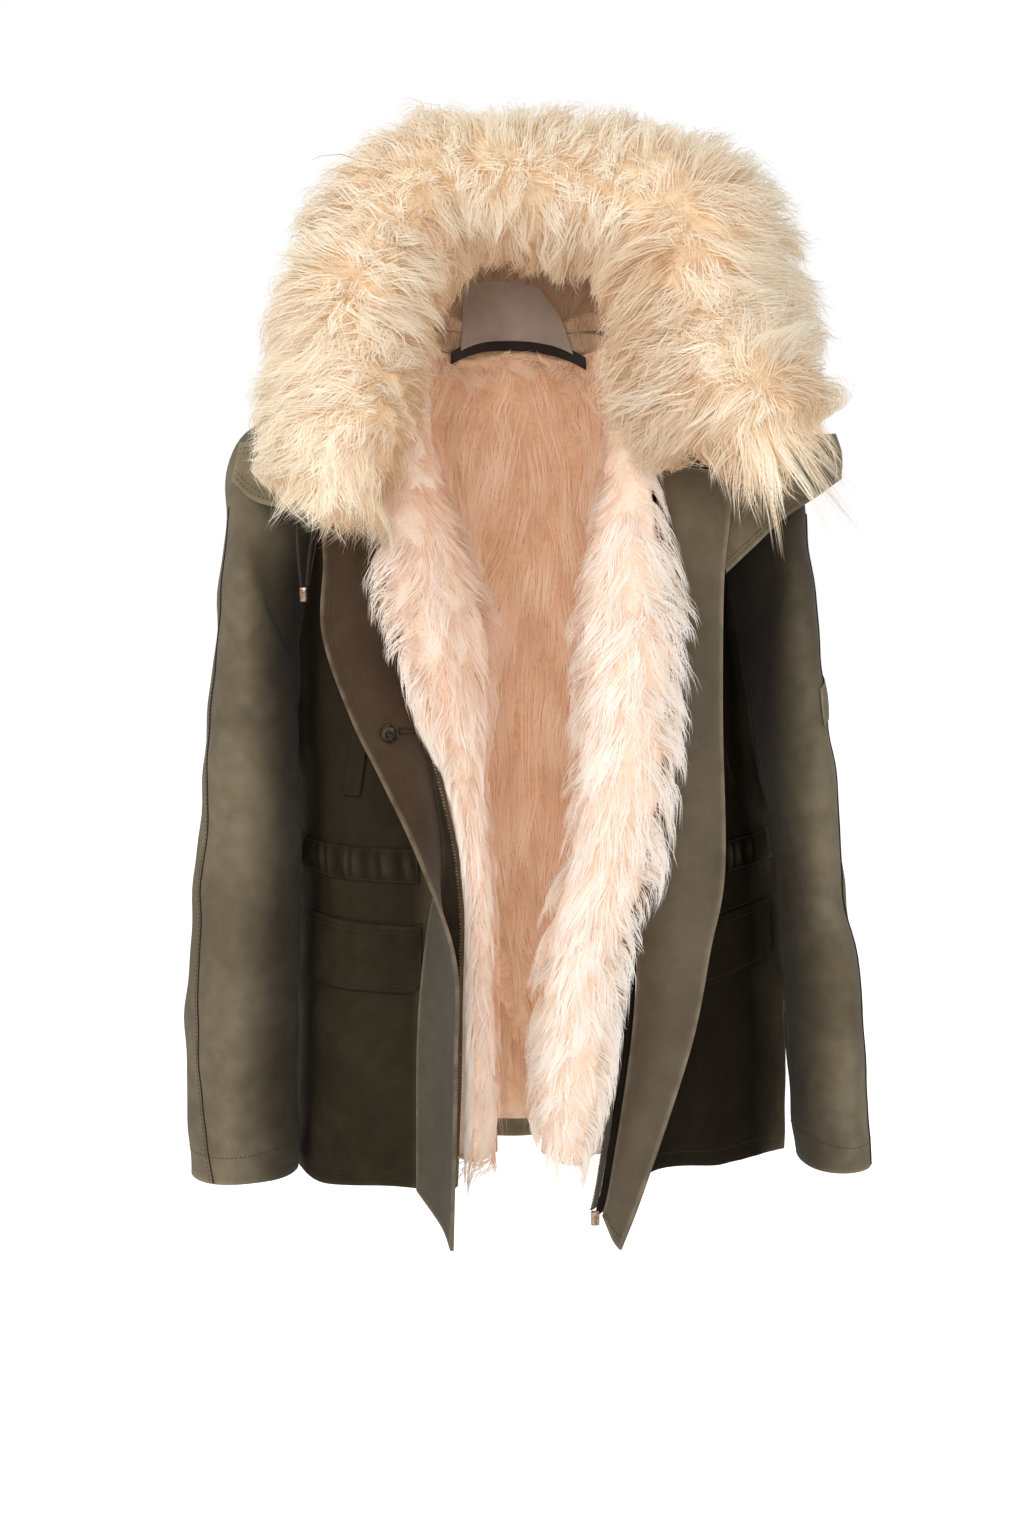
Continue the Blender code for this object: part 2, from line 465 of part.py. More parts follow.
def loft(name, sections, material):
    """Closed solid through a stack of closed sections, capped at both ends."""
    build = bmesh.new()
    rings = [[build.verts.new(point) for point in section] for section in np.asarray(sections).tolist()]
    for low, high in zip(rings, rings[1:]):
        for j in range(len(low)):
            k = (j + 1) % len(low)
            build.faces.new((low[j], low[k], high[k], high[j]))
    build.faces.new(rings[0][::-1])
    build.faces.new(rings[-1])
    return place(build, name, material)


def cloth_wall(name, cloth, edges="", material="shell_twill", thickness=CLOTH):
    outer = draw_back(cloth["out"], edges)
    inner = draw_back(cloth["out"] - thickness * cloth["facing"], edges)
    return wall(name, outer, inner, material)


def patch(name, cloth, up, across, thickness, material, raised=None, lift=LAY):
    """A piece laid on a cloth: its facets moved out, with an optional raised relief on top."""
    low = read(cloth, up, across, lift)
    high = read(cloth, up, across, lift + thickness)
    if raised is not None:
        high = high + raised[..., None] * unit(high - low)
    return wall(name, high, low, material)


# ================================================================ the shell's grids
def table(rows, *columns):
    return np.array([[getattr(row, column) for column in columns] for row in rows])


def fronts():
    across = np.linspace(0, 3, FRONT_ACROSS + 1)
    right = sheet(table(FRONT_RIGHT, "side", "mid", "fore", "edge"), body_rows(), across)
    left = sheet(table(FRONT_LEFT, "edge", "fore", "mid", "side"), body_rows(), across)
    return right, left


def back(right, left):
    """Back grid, whose side seams and shoulder seams take the fronts' own points."""
    across = np.concatenate([np.linspace(0, 1, FRONT_ACROSS + 1), np.linspace(1, 3, NECK_ACROSS + 1)[1:],
                             np.linspace(3, 4, FRONT_ACROSS + 1)[1:]])
    grid = sheet(table(BACK, "left", "left_blade", "centre", "right_blade", "right"), body_rows(), across)
    grid[:HEM_TO_ARMPIT + 1, 0] = left[:HEM_TO_ARMPIT + 1, -1]
    grid[:HEM_TO_ARMPIT + 1, -1] = right[:HEM_TO_ARMPIT + 1, 0]
    grid[-1, :FRONT_ACROSS + 1] = left[-1, ::-1]
    grid[-1, -FRONT_ACROSS - 1:] = right[-1, ::-1]
    return grid


def sleeve(rings, front_hole, back_hole, side):
    """Front and back halves of a sleeve, from the cuff up to its armhole.

    A ring is an ellipse about its centre, read counterclockwise from -X, with its outer side
    raised by the ring's lift. The last ring is the armhole itself."""
    angles = np.linspace(math.pi, 3 * math.pi, 2 * ARMHOLE + 1)
    stack = [np.stack([ring.x + ring.half_x * np.cos(angles), ring.y + ring.half_y * np.sin(angles),
                       ring.z + side * ring.lift * np.cos(angles)], axis=1) for ring in rings]
    if side < 0:
        hole = np.concatenate([front_hole[::-1], back_hole[1:]])
    else:
        hole = np.concatenate([front_hole, back_hole[::-1][1:]])
    tube = smooth(np.array(stack + [hole]), np.linspace(0, len(rings), SLEEVE_DOWN + 1))
    return tube[:, :ARMHOLE + 1], tube[:, ARMHOLE:]


def fold_height(points):
    """Sum of the folds at each point: depth times a bell of the distance to the fold's line."""
    total = np.zeros(points.shape[:-1])
    for fold in FOLDS:
        start, end = np.array(fold.start), np.array(fold.end)
        along = np.clip((points - start) @ (end - start) / ((end - start) @ (end - start)), 0, 1)
        distance = np.linalg.norm(points - start - along[..., None] * (end - start), axis=-1)
        total += fold.depth * np.exp(-(distance / fold.width) ** 2)
    return total


def sew(grids):
    """Gives border points that coincide one common direction, then raises the folds."""
    directions = {name: facing(grid) for name, grid in grids.items()}
    shared = {}
    for name, grid in grids.items():
        border = [(i, j) for i in range(grid.shape[0]) for j in range(grid.shape[1])
                  if i in (0, grid.shape[0] - 1) or j in (0, grid.shape[1] - 1)]
        for i, j in border:
            shared.setdefault(tuple(np.round(grid[i, j], 5)), []).append((name, i, j))
    for places in shared.values():
        mean = sum(directions[name][i, j] for name, i, j in places)
        for name, i, j in places:
            directions[name][i, j] = mean / np.linalg.norm(mean)
    return {name: {"out": grid + fold_height(grid)[..., None] * directions[name], "facing": directions[name]}
            for name, grid in grids.items()}


def shell():
    right, left = fronts()
    rear = back(right, left)
    armpit = HEM_TO_ARMPIT
    right_sleeve = sleeve(SLEEVE_RIGHT, right[armpit:, 0], rear[armpit:, -1], -1)
    left_sleeve = sleeve(SLEEVE_LEFT, left[armpit:, -1], rear[armpit:, 0], 1)
    return sew({"front_right": right, "front_left": left, "back": rear,
                "sleeve_front_right": right_sleeve[0], "sleeve_back_right": right_sleeve[1],
                "sleeve_front_left": left_sleeve[0], "sleeve_back_left": left_sleeve[1]})


# ================================================================ ruff and hood
def ruff_points(station, angle, grow=0.0):
    """Points of the fur roll at a station, turned by angle from its outer edge over its back.

    The section is an ellipse across the roll's path, with tufts as slow waves on it."""
    station, angle = np.broadcast_arrays(np.asarray(station, float), np.asarray(angle, float))
    shape = station.shape
    rows = np.array([(s.x, s.y, s.z, s.half_width, s.half_depth) for s in RUFF])
    at = smooth(rows, station.ravel()).reshape(shape + (5,))
    step = 0.05
    ahead = smooth(rows[:, :3], np.clip(station.ravel() + step, 0, len(rows) - 1))
    behind = smooth(rows[:, :3], np.clip(station.ravel() - step, 0, len(rows) - 1))
    along = unit((ahead - behind).reshape(shape + (3,)))
    outward = unit(np.cross(along, (0.0, 1.0, 0.0)))
    rear = np.cross(outward, along)
    tuft = 1 + RUFF_TUFT * sum(np.sin(turns * angle + pace * station) for turns, pace in RUFF_WAVES)
    width = at[..., 3] * tuft + grow
    depth = at[..., 4] * tuft + grow
    return (at[..., :3] + (width * np.cos(angle))[..., None] * outward
            + (depth * np.sin(angle))[..., None] * rear)


def make_ruff():
    crown = (len(RUFF) - 1) / 2
    angles = np.linspace(0, 2 * math.pi, RUFF_ROUND, endpoint=False)
    for name, first, last in (("ruff_right", 0.0, crown), ("ruff_left", crown, 2 * crown)):
        stations = np.linspace(first, last, RUFF_ALONG + 1)
        rings = ruff_points(stations[:, None], angles[None, :])
        seam = -1 if name == "ruff_right" else 0
        rings[seam, :, 0] += SEAM_DRAW * (1 if seam == 0 else -1)
        loft(name, rings, "fur_cream")


def hood(cloths):
    """Hood grid from its rim behind the ruff (row 0) to the nape (last row), right to left.

    Its first and last columns are the neck edges, which follow the fronts' necklines."""
    rear = cloths["back"]
    necks = [[front_point(cloths[name], side, up, 3.0, HOOD_NECK_CLEAR) for up in HOOD_NECK_UP]
             for name, side in (("front_right", -1), ("front_left", 1))]
    stations = [HOOD_NECK_STATIONS[0], *(line.station for line in HOOD), HOOD_NECK_STATIONS[1]]
    columns = np.linspace(0, len(stations) - 1, HOOD_ACROSS + 1)
    rim_at = smooth(stations, columns)
    nape_line = rear["out"][-1, FRONT_ACROSS:FRONT_ACROSS + NECK_ACROSS + 1][::-1]
    nape_at = np.linspace(0, NECK_ACROSS, HOOD_ACROSS + 1)
    marks = np.arange(NECK_ACROSS + 1)
    nape = np.stack([np.interp(nape_at, marks, nape_line[:, k]) for k in range(3)], axis=1)
    nape[:, 2] += NAPE_GAP
    rim = ruff_points(rim_at, HOOD_ATTACH, HOOD_CLEAR)
    lines = [smooth([necks[0][k], *(line[k + 2] for line in HOOD), necks[1][k]], columns) for k in range(3)]
    grid = smooth(np.array([rim, *lines, nape]), np.linspace(0, 4, HOOD_DOWN + 1))
    return {"out": grid, "facing": facing(grid)}


def make_hood(cloths):
    cover = hood(cloths)
    columns = np.linspace(0, len(HOOD) + 1, HOOD_ACROSS + 1)
    first, last = (int(np.argmin(abs(columns - mark))) for mark in CENTRE_STRIP)
    for name, span, edges in (("hood_side_right", np.s_[:, :first + 1], "r"),
                              ("hood_centre", np.s_[:, first:last + 1], "lr"),
                              ("hood_side_left", np.s_[:, last:], "l")):
        cloth_wall(name, {key: grid[span] for key, grid in cover.items()}, edges)
    up = stops(*HOOD_FUR_UP)
    across = stops(*HOOD_FUR_ACROSS)
    skin = read(cover, up[:, None], across[None, :], -CLOTH - LINING_GAP)
    tuft = FUR_TUFT * np.sin(HOOD_WAVES[0] * up[:, None] + HOOD_WAVES[1] * across[None, :])
    depth = CLOTH + LINING_GAP + HOOD_PILE + tuft
    pile = read(cover, up[:, None], across[None, :], -depth[..., None])
    wall("lining_hood", skin, pile, "fur_lining")


# ================================================================ flaps, zip and fur of the fronts
def front_point(cloth, side, up, column, lift):
    """Point of a front at a table row and a table column counted from its side seam."""
    across = column / 3 * FRONT_ACROSS
    if side > 0:
        across = FRONT_ACROSS - across
    return read(cloth, row_of(up), across, lift)


def flap_grid(rows, cloth, side):
    """Storm flap: from its root in front of the panel, through its middle, to its free edge."""
    stand = FLAP_STAND + FLAP_THICK
    net = np.array([[front_point(cloth, side, row.up, row.root, stand), row.middle, row.free]
                    for row in rows])
    return sheet(net, np.linspace(0, len(rows) - 1, FLAP_DOWN + 1), np.linspace(0, 2, FLAP_ACROSS + 1))


def make_flap(name, rows, cloth, side):
    """Wall of a flap, grown back from its front face, with a button on the right one."""
    grid = flap_grid(rows, cloth, side)
    out = side * facing(grid)
    wall(name, grid, grid - FLAP_THICK * out, "facing_twill")
    if side < 0:
        at = grid[BUTTON_ROW, BUTTON_COLUMN] + (LAY + BUTTON_THICK / 2) * out[BUTTON_ROW, BUTTON_COLUMN]
        make_disc("button", BUTTON_RADIUS, BUTTON_THICK, at, out[BUTTON_ROW, BUTTON_COLUMN], "dark_metal")


def make_zip_tape(name, cloth, side):
    """Tape that carries the zip's teeth, standing forward from the front edge of the panel."""
    rows = np.linspace(row_of(ZIP_FOOT), row_of(ZIP_TOP), ZIP_ROWS)
    edge = FRONT_ACROSS if side < 0 else 0
    inward, ahead = -side * ZIP_AIMS[side][0], ZIP_AIMS[side][1]
    start = read(cloth, rows, np.full_like(rows, edge), 0.0) - np.array([side * ZIP_CLEAR, 0.0, 0.0])
    end = start + ZIP_TAPE * np.array([inward, ahead, 0.0])
    grid = np.stack([start, (start + end) / 2, end], axis=1)
    behind = grid + ZIP_THICK * side * np.array([ahead, -inward, 0.0])
    wall(name, grid, behind, "zip_tape")
    if side > 0:
        width, depth, height = ZIP_END_SIZE
        foot = end[0] + np.array([width / 3, 0.0, -height / 2 - SEAM_GAP])
        make_box("zip_end", ZIP_END_SIZE, foot, "dark_metal", ZIP_END_BEVEL)


def make_front_fur(name, rolls, cloth, side):
    """Lining of a front: its skin lies inside the panel, and its pile swells to a roll at the edge.

    A section runs along the skin from near the side seam to the front edge, out round the roll,
    and back along the pile."""
    ups = np.linspace(rolls[0].up, rolls[-1].up, FRONT_FUR_RINGS)
    place_of = smooth([(r.outer[0], r.outer[1], r.front, r.inner[0], r.inner[1]) for r in rolls],
                      np.interp(ups, [r.up for r in rolls], np.arange(len(rolls))))
    sections = []
    for n, (up, spot) in enumerate(zip(ups, place_of)):
        depth = CLOTH + LINING_GAP
        skin = [front_point(cloth, side, up, column, -depth) for column in FRONT_SKIN_COLUMNS]
        tuft = FUR_TUFT * math.sin(FRONT_WAVES[0] * n)
        pile = [front_point(cloth, side, up, column,
                            -depth - FRONT_PILE - tuft * math.sin(FRONT_WAVES[1] * column))
                for column in FRONT_PILE_COLUMNS]
        level = skin[-1][2]
        outer_x, outer_y, front_y, inner_x, inner_y = spot
        edge = front_point(cloth, side, up, 3.0, 0.0)
        throat = (edge[0] - side * THROAT_IN, edge[1] + THROAT_BACK, level)
        roll = [throat, (edge[0] - side * ROLL_IN, min(edge[1] - ROLL_AHEAD, outer_y + ROLL_RISE), level)]
        for turn in ROLL_TURNS:
            angle = math.pi * turn
            x = (outer_x + inner_x) / 2 + (outer_x - inner_x) / 2 * math.cos(angle)
            base = outer_y + (inner_y - outer_y) * turn
            y = base + (front_y - (outer_y + inner_y) / 2) * math.sin(angle) ** ROLL_SQUARE
            roll.append((x, max(y, front_y), level))
        sections.append([*skin, *roll, *pile])
    loft(name, sections, "fur_lining")


def make_back_fur(cloth):
    """Fur of the back, on every second facet line of the panel, thinner towards the neck."""
    up = stops(row_of(BACK_FUR_UP[0]), row_of(BACK_FUR_UP[1]))[::2]
    across = stops(2.0, cloth["out"].shape[1] - 3.0)[::2]
    skin = read(cloth, up[:, None], across[None, :], -CLOTH - LINING_GAP)
    tuft = FUR_TUFT * np.sin(BACK_WAVES[0] * up[:, None] + BACK_WAVES[1] * across[None, :])
    pile_depth = (BACK_PILE + tuft) * np.interp(up, (up[-3], up[-1]), (1.0, BACK_FUR_TOP))[:, None]
    pile = read(cloth, up[:, None], across[None, :], -(CLOTH + LINING_GAP + pile_depth)[..., None])
    wall("lining_back", skin, pile, "fur_lining")


# ================================================================ small pieces
def make_casings(cloths):
    """Waist casings, gathered: their outer points ride up and down in even waves."""
    for gather in GATHERS:
        cloth = cloths["back" if gather.place == "back" else f"front_{gather.place}"]
        across = stops(gather.first + CASING_DRAW, gather.last - CASING_DRAW, gather.parts)
        up = np.linspace(row_of(CASING_UP[0]), row_of(CASING_UP[1]), len(CASING_SWELL))
        turns = gather.count * (across - gather.first) / (gather.last - gather.first)
        wave = 0.5 + 0.5 * np.sin(2 * math.pi * turns)
        patch(f"casing_{gather.place}", cloth, up[:, None], across[None, :], CASING_THICK, "shell_twill",
              GATHER_HEIGHT * np.array(CASING_SWELL)[:, None] * wave[None, :])


def make_pocket_flaps(cloths):
    up = stops(row_of(POCKET_FLAP_UP[0]), row_of(POCKET_FLAP_UP[1]))
    for side_name, first, last in POCKET_FLAP_ACROSS:
        across = stops(first, last)
        patch(f"pocket_flap_{side_name}", cloths[f"front_{side_name}"], up[:, None], across[None, :],
              POCKET_FLAP_THICK, "shell_twill")


def make_welts(cloths):
    """Hand pocket welts, slanted so that their upper end is nearer to the front edge."""
    up = np.linspace(row_of(WELT_UP[0]), row_of(WELT_UP[1]), 4)
    for side_name, low, high in WELT_SLANT:
        start = np.linspace(low, high, len(up))[:, None]
        across = start + np.linspace(0, WELT_WIDTH, 3)[None, :]
        patch(f"welt_{side_name}", cloths[f"front_{side_name}"], up[:, None], across,
              WELT_THICK, "shell_twill")


def make_sleeve_patch(cloth):
    """Small patch pocket high on the left sleeve, beside its outer seam."""
    up = stops(*SLEEVE_PATCH_UP)
    across = stops(*SLEEVE_PATCH_ACROSS)
    patch("sleeve_patch", cloth, up[:, None], across[None, :], SLEEVE_PATCH_THICK, "shell_twill")


def make_box(name, size, at, material, bevel):
    build = bmesh.new()
    bmesh.ops.create_cube(build, size=1.0)
    bmesh.ops.scale(build, vec=size, verts=build.verts)
    bmesh.ops.translate(build, vec=at, verts=build.verts)
    piece = place(build, name, material)
    edge = piece.modifiers.new("Edges", "BEVEL")
    edge.width = bevel
    edge.segments = 1
    piece.modifiers.move(1, 0)
    return piece


def make_disc(name, radius, thickness, at, direction, material):
    """Flat round button, facing along direction."""
    build = bmesh.new()
    bmesh.ops.create_cone(build, cap_ends=True, segments=20, radius1=radius, radius2=radius, depth=thickness)
    heading = np.asarray(direction, float) / np.linalg.norm(direction)
    side = unit(np.cross((0.0, 0.0, 1.0), heading))
    top = np.cross(heading, side)
    for vert in build.verts:
        vert.co = np.asarray(at) + vert.co.x * side + vert.co.y * top + vert.co.z * heading
    return place(build, name, material)


def make_cord(name, route, material):
    """Cord along a smooth route, as a curve with round caps made into a mesh."""
    points = smooth(route, np.linspace(0, len(route) - 1, 9))
    curve = bpy.data.curves.new(name, "CURVE")
    curve.dimensions = "3D"
    curve.bevel_depth = CORD_DIAMETER / 2
    curve.bevel_resolution = 2
    curve.use_fill_caps = True
    spline = curve.splines.new("POLY")
    spline.points.add(len(points) - 1)
    spline.points.foreach_set("co", np.column_stack([points, np.ones(len(points))]).ravel())
    curve.materials.append(finish(material))
    piece = bpy.data.objects.new(name, curve)
    bpy.data.collections[COLLECTION].objects.link(piece)
    return piece


def make_cord_tip():
    build = bmesh.new()
    bmesh.ops.create_cone(build, cap_ends=True, segments=14, radius1=CORD_TIP_RADIUS * 0.8,
                          radius2=CORD_TIP_RADIUS, depth=CORD_TIP_LENGTH)
    x, y, z = CORD_TIP_TOP
    bmesh.ops.translate(build, vec=(x, y, z - CORD_TIP_LENGTH / 2), verts=build.verts)
    return place(build, "cord_tip", "dark_metal")


def make_neck(rear):
    """Inner neck panel and the band below it, both read from the back neck seam's arc."""
    arc = rear["out"][-1, FRONT_ACROSS:FRONT_ACROSS + NECK_ACROSS + 1][::-1]
    for piece in NECK_PIECES:
        line = smooth(arc, np.linspace(*piece.span, NECK_POINTS) * NECK_ACROSS)
        net = np.array([[(row.scale * x + row.aside, row.scale * y + row.back, row.up - row.sag * x * x)
                         for x, y, z in line] for row in piece.rows])
        grid = smooth(net, np.linspace(0, len(piece.rows) - 1, 2 * len(piece.rows)))
        wall(piece.name, grid, grid - NECK_WALL * facing(grid), piece.material)


def thin_sheet(name, net, thickness, material, rows, columns):
    net = np.array(net)
    grid = sheet(net, np.linspace(0, net.shape[0] - 1, rows), np.linspace(0, net.shape[1] - 1, columns))
    return wall(name, grid, grid - thickness * facing(grid), material)


# ================================================================ the parka
COLLECTION = "parka"


def clear_scene():
    for item in list(bpy.data.objects):
        bpy.data.objects.remove(item, do_unlink=True)
    bpy.context.scene.collection.children.link(bpy.data.collections.new(COLLECTION))


def build_parka():
    clear_scene()
    cloths = shell()
    for name, edges in (("front_right", "lt"), ("front_left", "rt"), ("back", "lrt"),
                        ("sleeve_front_right", "lrh"), ("sleeve_back_right", "lrh"),
                        ("sleeve_front_left", "lrh"), ("sleeve_back_left", "lrh")):
        cloth_wall(name, cloths[name], edges)
    make_ruff()
    make_hood(cloths)
    make_back_fur(cloths["back"])
    for side_name, side, rolls, rows in (("right", -1, ROLL_RIGHT, FLAP_RIGHT),
                                         ("left", 1, ROLL_LEFT, FLAP_LEFT)):
        cloth = cloths[f"front_{side_name}"]
        make_front_fur(f"lining_{side_name}", rolls, cloth, side)
        make_flap(f"flap_{side_name}", rows, cloth, side)
        make_zip_tape(f"zip_tape_{side_name}", cloth, side)
    make_casings(cloths)
    make_pocket_flaps(cloths)
    make_welts(cloths)
    make_sleeve_patch(cloths["sleeve_front_left"])
    thin_sheet("throat_right", THROAT_RIGHT, THROAT_THICK, "shell_twill", 4, 10)
    thin_sheet("throat_left", THROAT_LEFT, THROAT_THICK, "shell_twill", 6, 12)
    make_neck(cloths["back"])
    make_cord("cord_outer", CORD_OUTER, "cord")
    make_cord("cord_inner", CORD_INNER, "cord")
    make_cord_tip()
    make_box("lining_tab", TAB_SIZE, TAB_PLACE, "tan_tape", TAB_BEVEL)


build_parka()
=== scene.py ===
# %% [markdown]
# # A parka with a fur ruff
#
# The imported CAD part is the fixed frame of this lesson: it says where every panel, flap and cord
# of the coat lies. Here each of those plain solids gets the surface of the real thing. Cloth
# panels become finely divided walls with creases and a twill weave, seams get their thread, and
# the fur is combed out of some hundred thousand tapered hairs.

# %% Load the frame
import math
from collections import namedtuple

import bpy
import numpy as np
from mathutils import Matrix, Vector


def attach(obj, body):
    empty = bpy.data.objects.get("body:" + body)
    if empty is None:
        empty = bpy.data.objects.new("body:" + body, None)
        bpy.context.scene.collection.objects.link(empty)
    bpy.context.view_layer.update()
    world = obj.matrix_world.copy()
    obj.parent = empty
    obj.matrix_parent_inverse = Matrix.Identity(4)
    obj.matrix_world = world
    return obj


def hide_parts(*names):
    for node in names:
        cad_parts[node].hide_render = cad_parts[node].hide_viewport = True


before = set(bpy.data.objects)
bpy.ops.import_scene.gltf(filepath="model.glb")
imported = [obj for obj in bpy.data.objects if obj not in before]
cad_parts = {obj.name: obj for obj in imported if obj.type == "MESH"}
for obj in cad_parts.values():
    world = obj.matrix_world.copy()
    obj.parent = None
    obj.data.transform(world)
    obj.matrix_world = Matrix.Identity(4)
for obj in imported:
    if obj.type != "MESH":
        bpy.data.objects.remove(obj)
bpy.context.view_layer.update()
SIDES = {"right": -1, "left": 1}        # the wearer's sides, and the sign of x on them

# %% [markdown]
# ## Camera and light
#
# The coat is seen from the front, a little from its right and from slightly above, with a long
# lens. It hangs at the height of a wearer, with the floor well below it. One large lamp on the
# wearer's right models the folds, a second one near the lens reaches inside the coat, and a pale
# sky fills the shadows. The sky is shown white, and gives less light than it shows, so that the
# lamps can shape the fur.

# %% Camera
CAMERA_AT = Vector((-0.1287, -1.5890, -0.2470))
LOOKING_AT = Vector((-0.0037, 0.0, -0.3865))
FOCAL_LENGTH, FILM_HEIGHT = 41.67, 36.0     # in millimetres
scene = bpy.context.scene
lens = bpy.data.cameras.new("front_view")
lens.sensor_fit = "VERTICAL"
lens.sensor_height = FILM_HEIGHT
lens.lens = FOCAL_LENGTH


def aimed(data, at):
    """Puts a camera or a lamp at a place and turns it to the middle of the coat."""
    holder = bpy.data.objects.new(data.name, data)
    holder.location = at
    holder.rotation_euler = (LOOKING_AT - Vector(at)).to_track_quat("-Z", "Y").to_euler()
    scene.collection.objects.link(holder)
    return holder


scene.camera = aimed(lens, CAMERA_AT)
print("camera distance:", round((LOOKING_AT - CAMERA_AT).length, 3), "m")

# %% Lamps and sky
Lamp = namedtuple("Lamp", "name at size power colour")
LAMPS = (
    Lamp("key", (-2.2, -1.9, 1.3), 1.8, 37.0, (1.0, 0.975, 0.94)),
    Lamp("front", (-0.35, -2.7, 0.25), 1.6, 20.0, (1.0, 0.97, 0.93)),
    Lamp("side", (2.3, -1.7, 0.9), 2.2, 10.0, (1.0, 0.98, 0.96)),
    Lamp("rim", (0.4, 2.4, 1.6), 1.8, 24.0, (1.0, 1.0, 1.0)),
)
SKY_SEEN, SKY_LIGHT = 1.0, 0.42     # strength of the sky to the camera, and to the coat
for lamp in LAMPS:
    light = bpy.data.lights.new(lamp.name, "AREA")
    light.shape = "DISK"
    light.size = lamp.size
    light.energy = lamp.power
    light.color = lamp.colour
    aimed(light, lamp.at)
sky = bpy.data.worlds.new("pale_sky")
sky.use_nodes = True
backdrop = sky.node_tree.nodes["Background"]
backdrop.inputs["Color"].default_value = (1.0, 1.0, 1.0, 1.0)
ray = sky.node_tree.nodes.new("ShaderNodeLightPath")
level = sky.node_tree.nodes.new("ShaderNodeMapRange")
level.inputs["To Min"].default_value = SKY_LIGHT
level.inputs["To Max"].default_value = SKY_SEEN
sky.node_tree.links.new(ray.outputs["Is Camera Ray"], level.inputs["Value"])
sky.node_tree.links.new(level.outputs["Result"], backdrop.inputs["Strength"])
scene.world = sky
scene.view_settings.view_transform = "Standard"
print("lamps:", [lamp.name for lamp in LAMPS])

# %% [markdown]
# ## A small language for materials
#
# A material is a graph of nodes. Written with plain expressions it is easier to read, so one
# class wraps a value on its way through the graph and turns + - * into Math nodes, and another
# holds the material and adds every other kind of node in the same way.


# %% Wires and finishes
class Wire:
    """One value on its way through a material. Arithmetic on it adds Math nodes."""

    def __init__(self, finish, socket):
        self.finish = finish
        self.socket = socket

    def __add__(self, other):
        return self.finish.maths("ADD", self, other)

    def __sub__(self, other):
        return self.finish.maths("SUBTRACT", self, other)

    def __rsub__(self, other):
        return self.finish.maths("SUBTRACT", other, self)

    def __mul__(self, other):
        return self.finish.maths("MULTIPLY", self, other)

    def wave(self, length):
        """Sine of the value, with the given wave length."""
        return self.finish.maths("SINE", self * (2 * math.pi / length))

    def step(self, low, high):
        """0 below low, 1 above high and a smooth rise between them."""
        return self.finish.node("ShaderNodeMapRange", {"interpolation_type": "SMOOTHSTEP"},
                                {"Value": self, "From Min": low, "From Max": high})


class Finish:
    """A material with its Principled shader, and the one way to add nodes to it."""

    def __init__(self, name, roughness, sheen=0.0, specular=0.5, metallic=0.0):
        self.material = bpy.data.materials.new(name)
        self.material.use_nodes = True
        self.tree = self.material.node_tree
        self.shader = self.tree.nodes["Principled BSDF"]
        for socket, value in (("Roughness", roughness), ("Sheen Weight", sheen), ("Sheen Roughness", 0.45),
                              ("Specular IOR Level", specular), ("Metallic", metallic)):
            self.shader.inputs[socket].default_value = value

    def node(self, kind, settings, values, output=0):
        """Adds a node: its settings first, then the values or wires of its sockets."""
        made = self.tree.nodes.new(kind)
        for key, value in settings.items():
            setattr(made, key, value)
        for key, value in values.items():
            if isinstance(value, Wire):
                self.tree.links.new(value.socket, made.inputs[key])
            else:
                made.inputs[key].default_value = value
        return Wire(self, made.outputs[output])

    def maths(self, operation, *values):
        return self.node("ShaderNodeMath", {"operation": operation}, dict(enumerate(values)))

    def mix(self, first, second, share):
        """Colour between first and second, by share. A plain colour is its red, green and blue."""
        first, second = ((*one, 1.0) if isinstance(one, tuple) else one for one in (first, second))
        return self.node("ShaderNodeMix", {"data_type": "RGBA"}, {0: share, 6: first, 7: second}, 2)

    def noise(self, place, scale, detail):
        return self.node("ShaderNodeTexNoise", {}, {"Vector": place, "Scale": scale, "Detail": detail})

    def place(self, kind):
        """The surface's own coordinates: UV, or Object for a pattern in metres round the coat."""
        return self.node("ShaderNodeTexCoord", {}, {}, kind)

    def axes(self, vector):
        return [self.node("ShaderNodeSeparateXYZ", {}, {0: vector}, axis) for axis in range(3)]

    def mark(self, name):
        """A number stored at the mesh's points."""
        return self.node("ShaderNodeAttribute", {"attribute_name": name}, {}, "Fac")

    def wear(self, colour, height=None, depth=0.001, painted_glow=0.0):
        """Links the colour, and a height in metres at depth per unit as a bump.

        A painted glow is emission in the colour's own hue: painted light that lifts the shade, in place of
        light scattered inside the material."""
        self.tree.links.new(colour.socket, self.shader.inputs["Base Color"])
        # Painted light: the material glows in its own colour, though it is no lamp.
        if painted_glow:
            self.tree.links.new(colour.socket, self.shader.inputs["Emission Color"])
            self.shader.inputs["Emission Strength"].default_value = painted_glow
        if height is not None:
            normal = self.node("ShaderNodeBump", {}, {"Strength": 1.0, "Distance": depth, "Height": height})
            self.tree.links.new(normal.socket, self.shader.inputs["Normal"])
        return self.material


BLACK, WHITE = (0.0, 0.0, 0.0), (1.0, 1.0, 1.0)
print("the material language is ready")

# %% [markdown]
# ## Cloth
#
# The shell is a heavy cotton twill. From a step away it is a dusty olive with paler and darker
# clouds where it has been washed. Close to, fine diagonal ribs cross it, and its edges and seams
# are rubbed paler. A soft sheen lightens it where it turns away.


# %% Twill and other cloths
WALE = 0.0016           # from rib to rib
DEEP_SHADE = (0.006, 0.004, 0.002)
WAIST_FADE = (-0.47, -0.40)     # heights between which a second pair of colours takes over
RUBBED_EDGE = 0.005             # width of the pale rubbed edge
PUCKERED = (0.002, 0.022)       # the seam puckers from the one to the other distance of the border
LAP = (0.0078, 0.0092)          # where the cloth steps down from the seam's allowance


